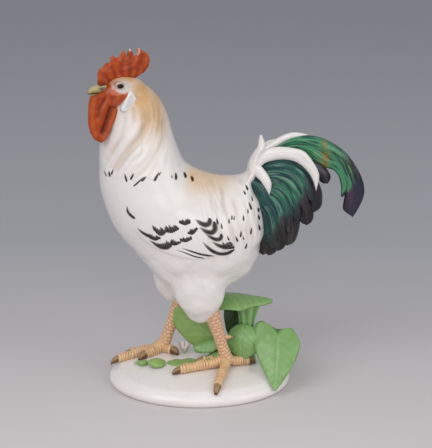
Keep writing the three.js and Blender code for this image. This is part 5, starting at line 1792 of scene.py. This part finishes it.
def floor_material(stage):
    """Matt studio paper with painted light: brightest before the object, it darkens with distance."""
    material = bare_material("matt_studio_paper")
    place = {0: add_node(material, "ShaderNodeTexCoord").outputs["Object"]}
    moved = add_node(material, "ShaderNodeVectorMath", {"operation": "ADD", 1: (0, 0.35, 0)}, place)
    far = add_node(material, "ShaderNodeVectorMath", {"operation": "LENGTH"}, {0: moved.outputs["Vector"]})
    limits = {"From Min": 0.2, "From Max": 1.7}
    share = add_node(material, "ShaderNodeMapRange", limits, {"Value": far.outputs["Value"]})
    ramp = add_node(material, "ShaderNodeValToRGB", links={"Fac": share.outputs["Result"]})
    colours = stage.floor_near, stage.floor_mid, stage.floor_back, stage.floor_far
    stops = 0.03, 0.11, 0.32, 0.95
    for position in stops[1:3]:
        ramp.color_ramp.elements.new(position)
    for element, position, value in zip(ramp.color_ramp.elements, stops, colours):
        element.position = position
        element.color = (*value, 1)
    surface = {"Roughness": 0.9, "Specular IOR Level": 0.15}
    paper = add_node(material, "ShaderNodeBsdfPrincipled", surface, {"Base Color": ramp.outputs["Color"]})
    add_node(material, "ShaderNodeOutputMaterial", links={"Surface": paper.outputs["BSDF"]})
    return material


class ROOSTER_OT_stage(bpy.types.Operator):
    """Sets the floor, the soft light and the camera"""

    bl_idname = "rooster.stage"
    bl_label = "Stage"

    def execute(self, context):
        stage = context.scene.rooster_stage
        context.scene.view_settings.view_transform = "Standard"
        add_camera()
        profile = [(FLOOR_RADIUS, -FLOOR_DEPTH), (FLOOR_RADIUS, 0), (10, 0)]
        mesh = mesh_of("floor", *tube(round_rings(profile, 1, 96)))
        mesh.materials.append(floor_material(stage))
        floor = bpy.data.objects.new("floor", mesh)
        context.scene.collection.objects.link(floor)
        floor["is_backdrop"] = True
        add_light("key_softbox", (0.9, 0.9), stage.key_power, (-0.75, -0.9, 1.15))
        add_light("front_softbox", (1.2, 0.8), stage.front_power, (0.1, -1.6, 0.95))
        add_light("fill_softbox", (0.8, 1.0), stage.fill_power, (1.1, -0.7, 0.7))
        world = bpy.data.worlds.new("even_room")
        world.use_nodes = True
        background = world.node_tree.nodes["Background"]
        background.inputs["Color"].default_value = (*linear("#F2F3F7"), 1)
        background.inputs["Strength"].default_value = stage.world_strength
        context.scene.world = world
        return {"FINISHED"}


class ROOSTER_PT_panel(bpy.types.Panel):
    """Lists the pieces and their settings"""

    bl_idname = "ROOSTER_PT_panel"
    bl_label = "Porcelain rooster"
    bl_space_type = "VIEW_3D"
    bl_region_type = "UI"
    bl_category = "Rooster"

    def draw(self, context):
        for operator in OPERATORS:
            self.layout.operator(operator.bl_idname)
        for settings in SETTINGS:
            group = getattr(context.scene, settings)
            box = self.layout.box()
            for name in group.__annotations__:
                box.prop(group, name)


OPERATORS = [
    ROOSTER_OT_stage,
    ROOSTER_OT_mound,
    ROOSTER_OT_skin,
    ROOSTER_OT_strokes,
    ROOSTER_OT_head,
    ROOSTER_OT_tail,
    ROOSTER_OT_legs,
    ROOSTER_OT_plants,
]
SETTINGS = {"rooster_sizes": RoosterSizes, "rooster_colours": RoosterColours, "rooster_stage": RoosterStage}


def register():
    """Registers the classes and puts their settings on the scene."""
    for group in [*SETTINGS.values(), *OPERATORS, ROOSTER_PT_panel]:
        bpy.utils.register_class(group)
    for name, group in SETTINGS.items():
        setattr(bpy.types.Scene, name, bpy.props.PointerProperty(type=group))


def unregister():
    """Takes the settings and classes away again."""
    for name in SETTINGS:
        delattr(bpy.types.Scene, name)
    for group in reversed([*SETTINGS.values(), *OPERATORS, ROOSTER_PT_panel]):
        bpy.utils.unregister_class(group)


def main():
    """Builds the whole scene and measures the two boxes."""
    register()
    for operator in OPERATORS:
        category, name = operator.bl_idname.split(".")
        getattr(getattr(bpy.ops, category), name)()
    boxes = {"cad": CAD_BOX, "visual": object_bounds()}


if __name__ == "__main__":
    main()
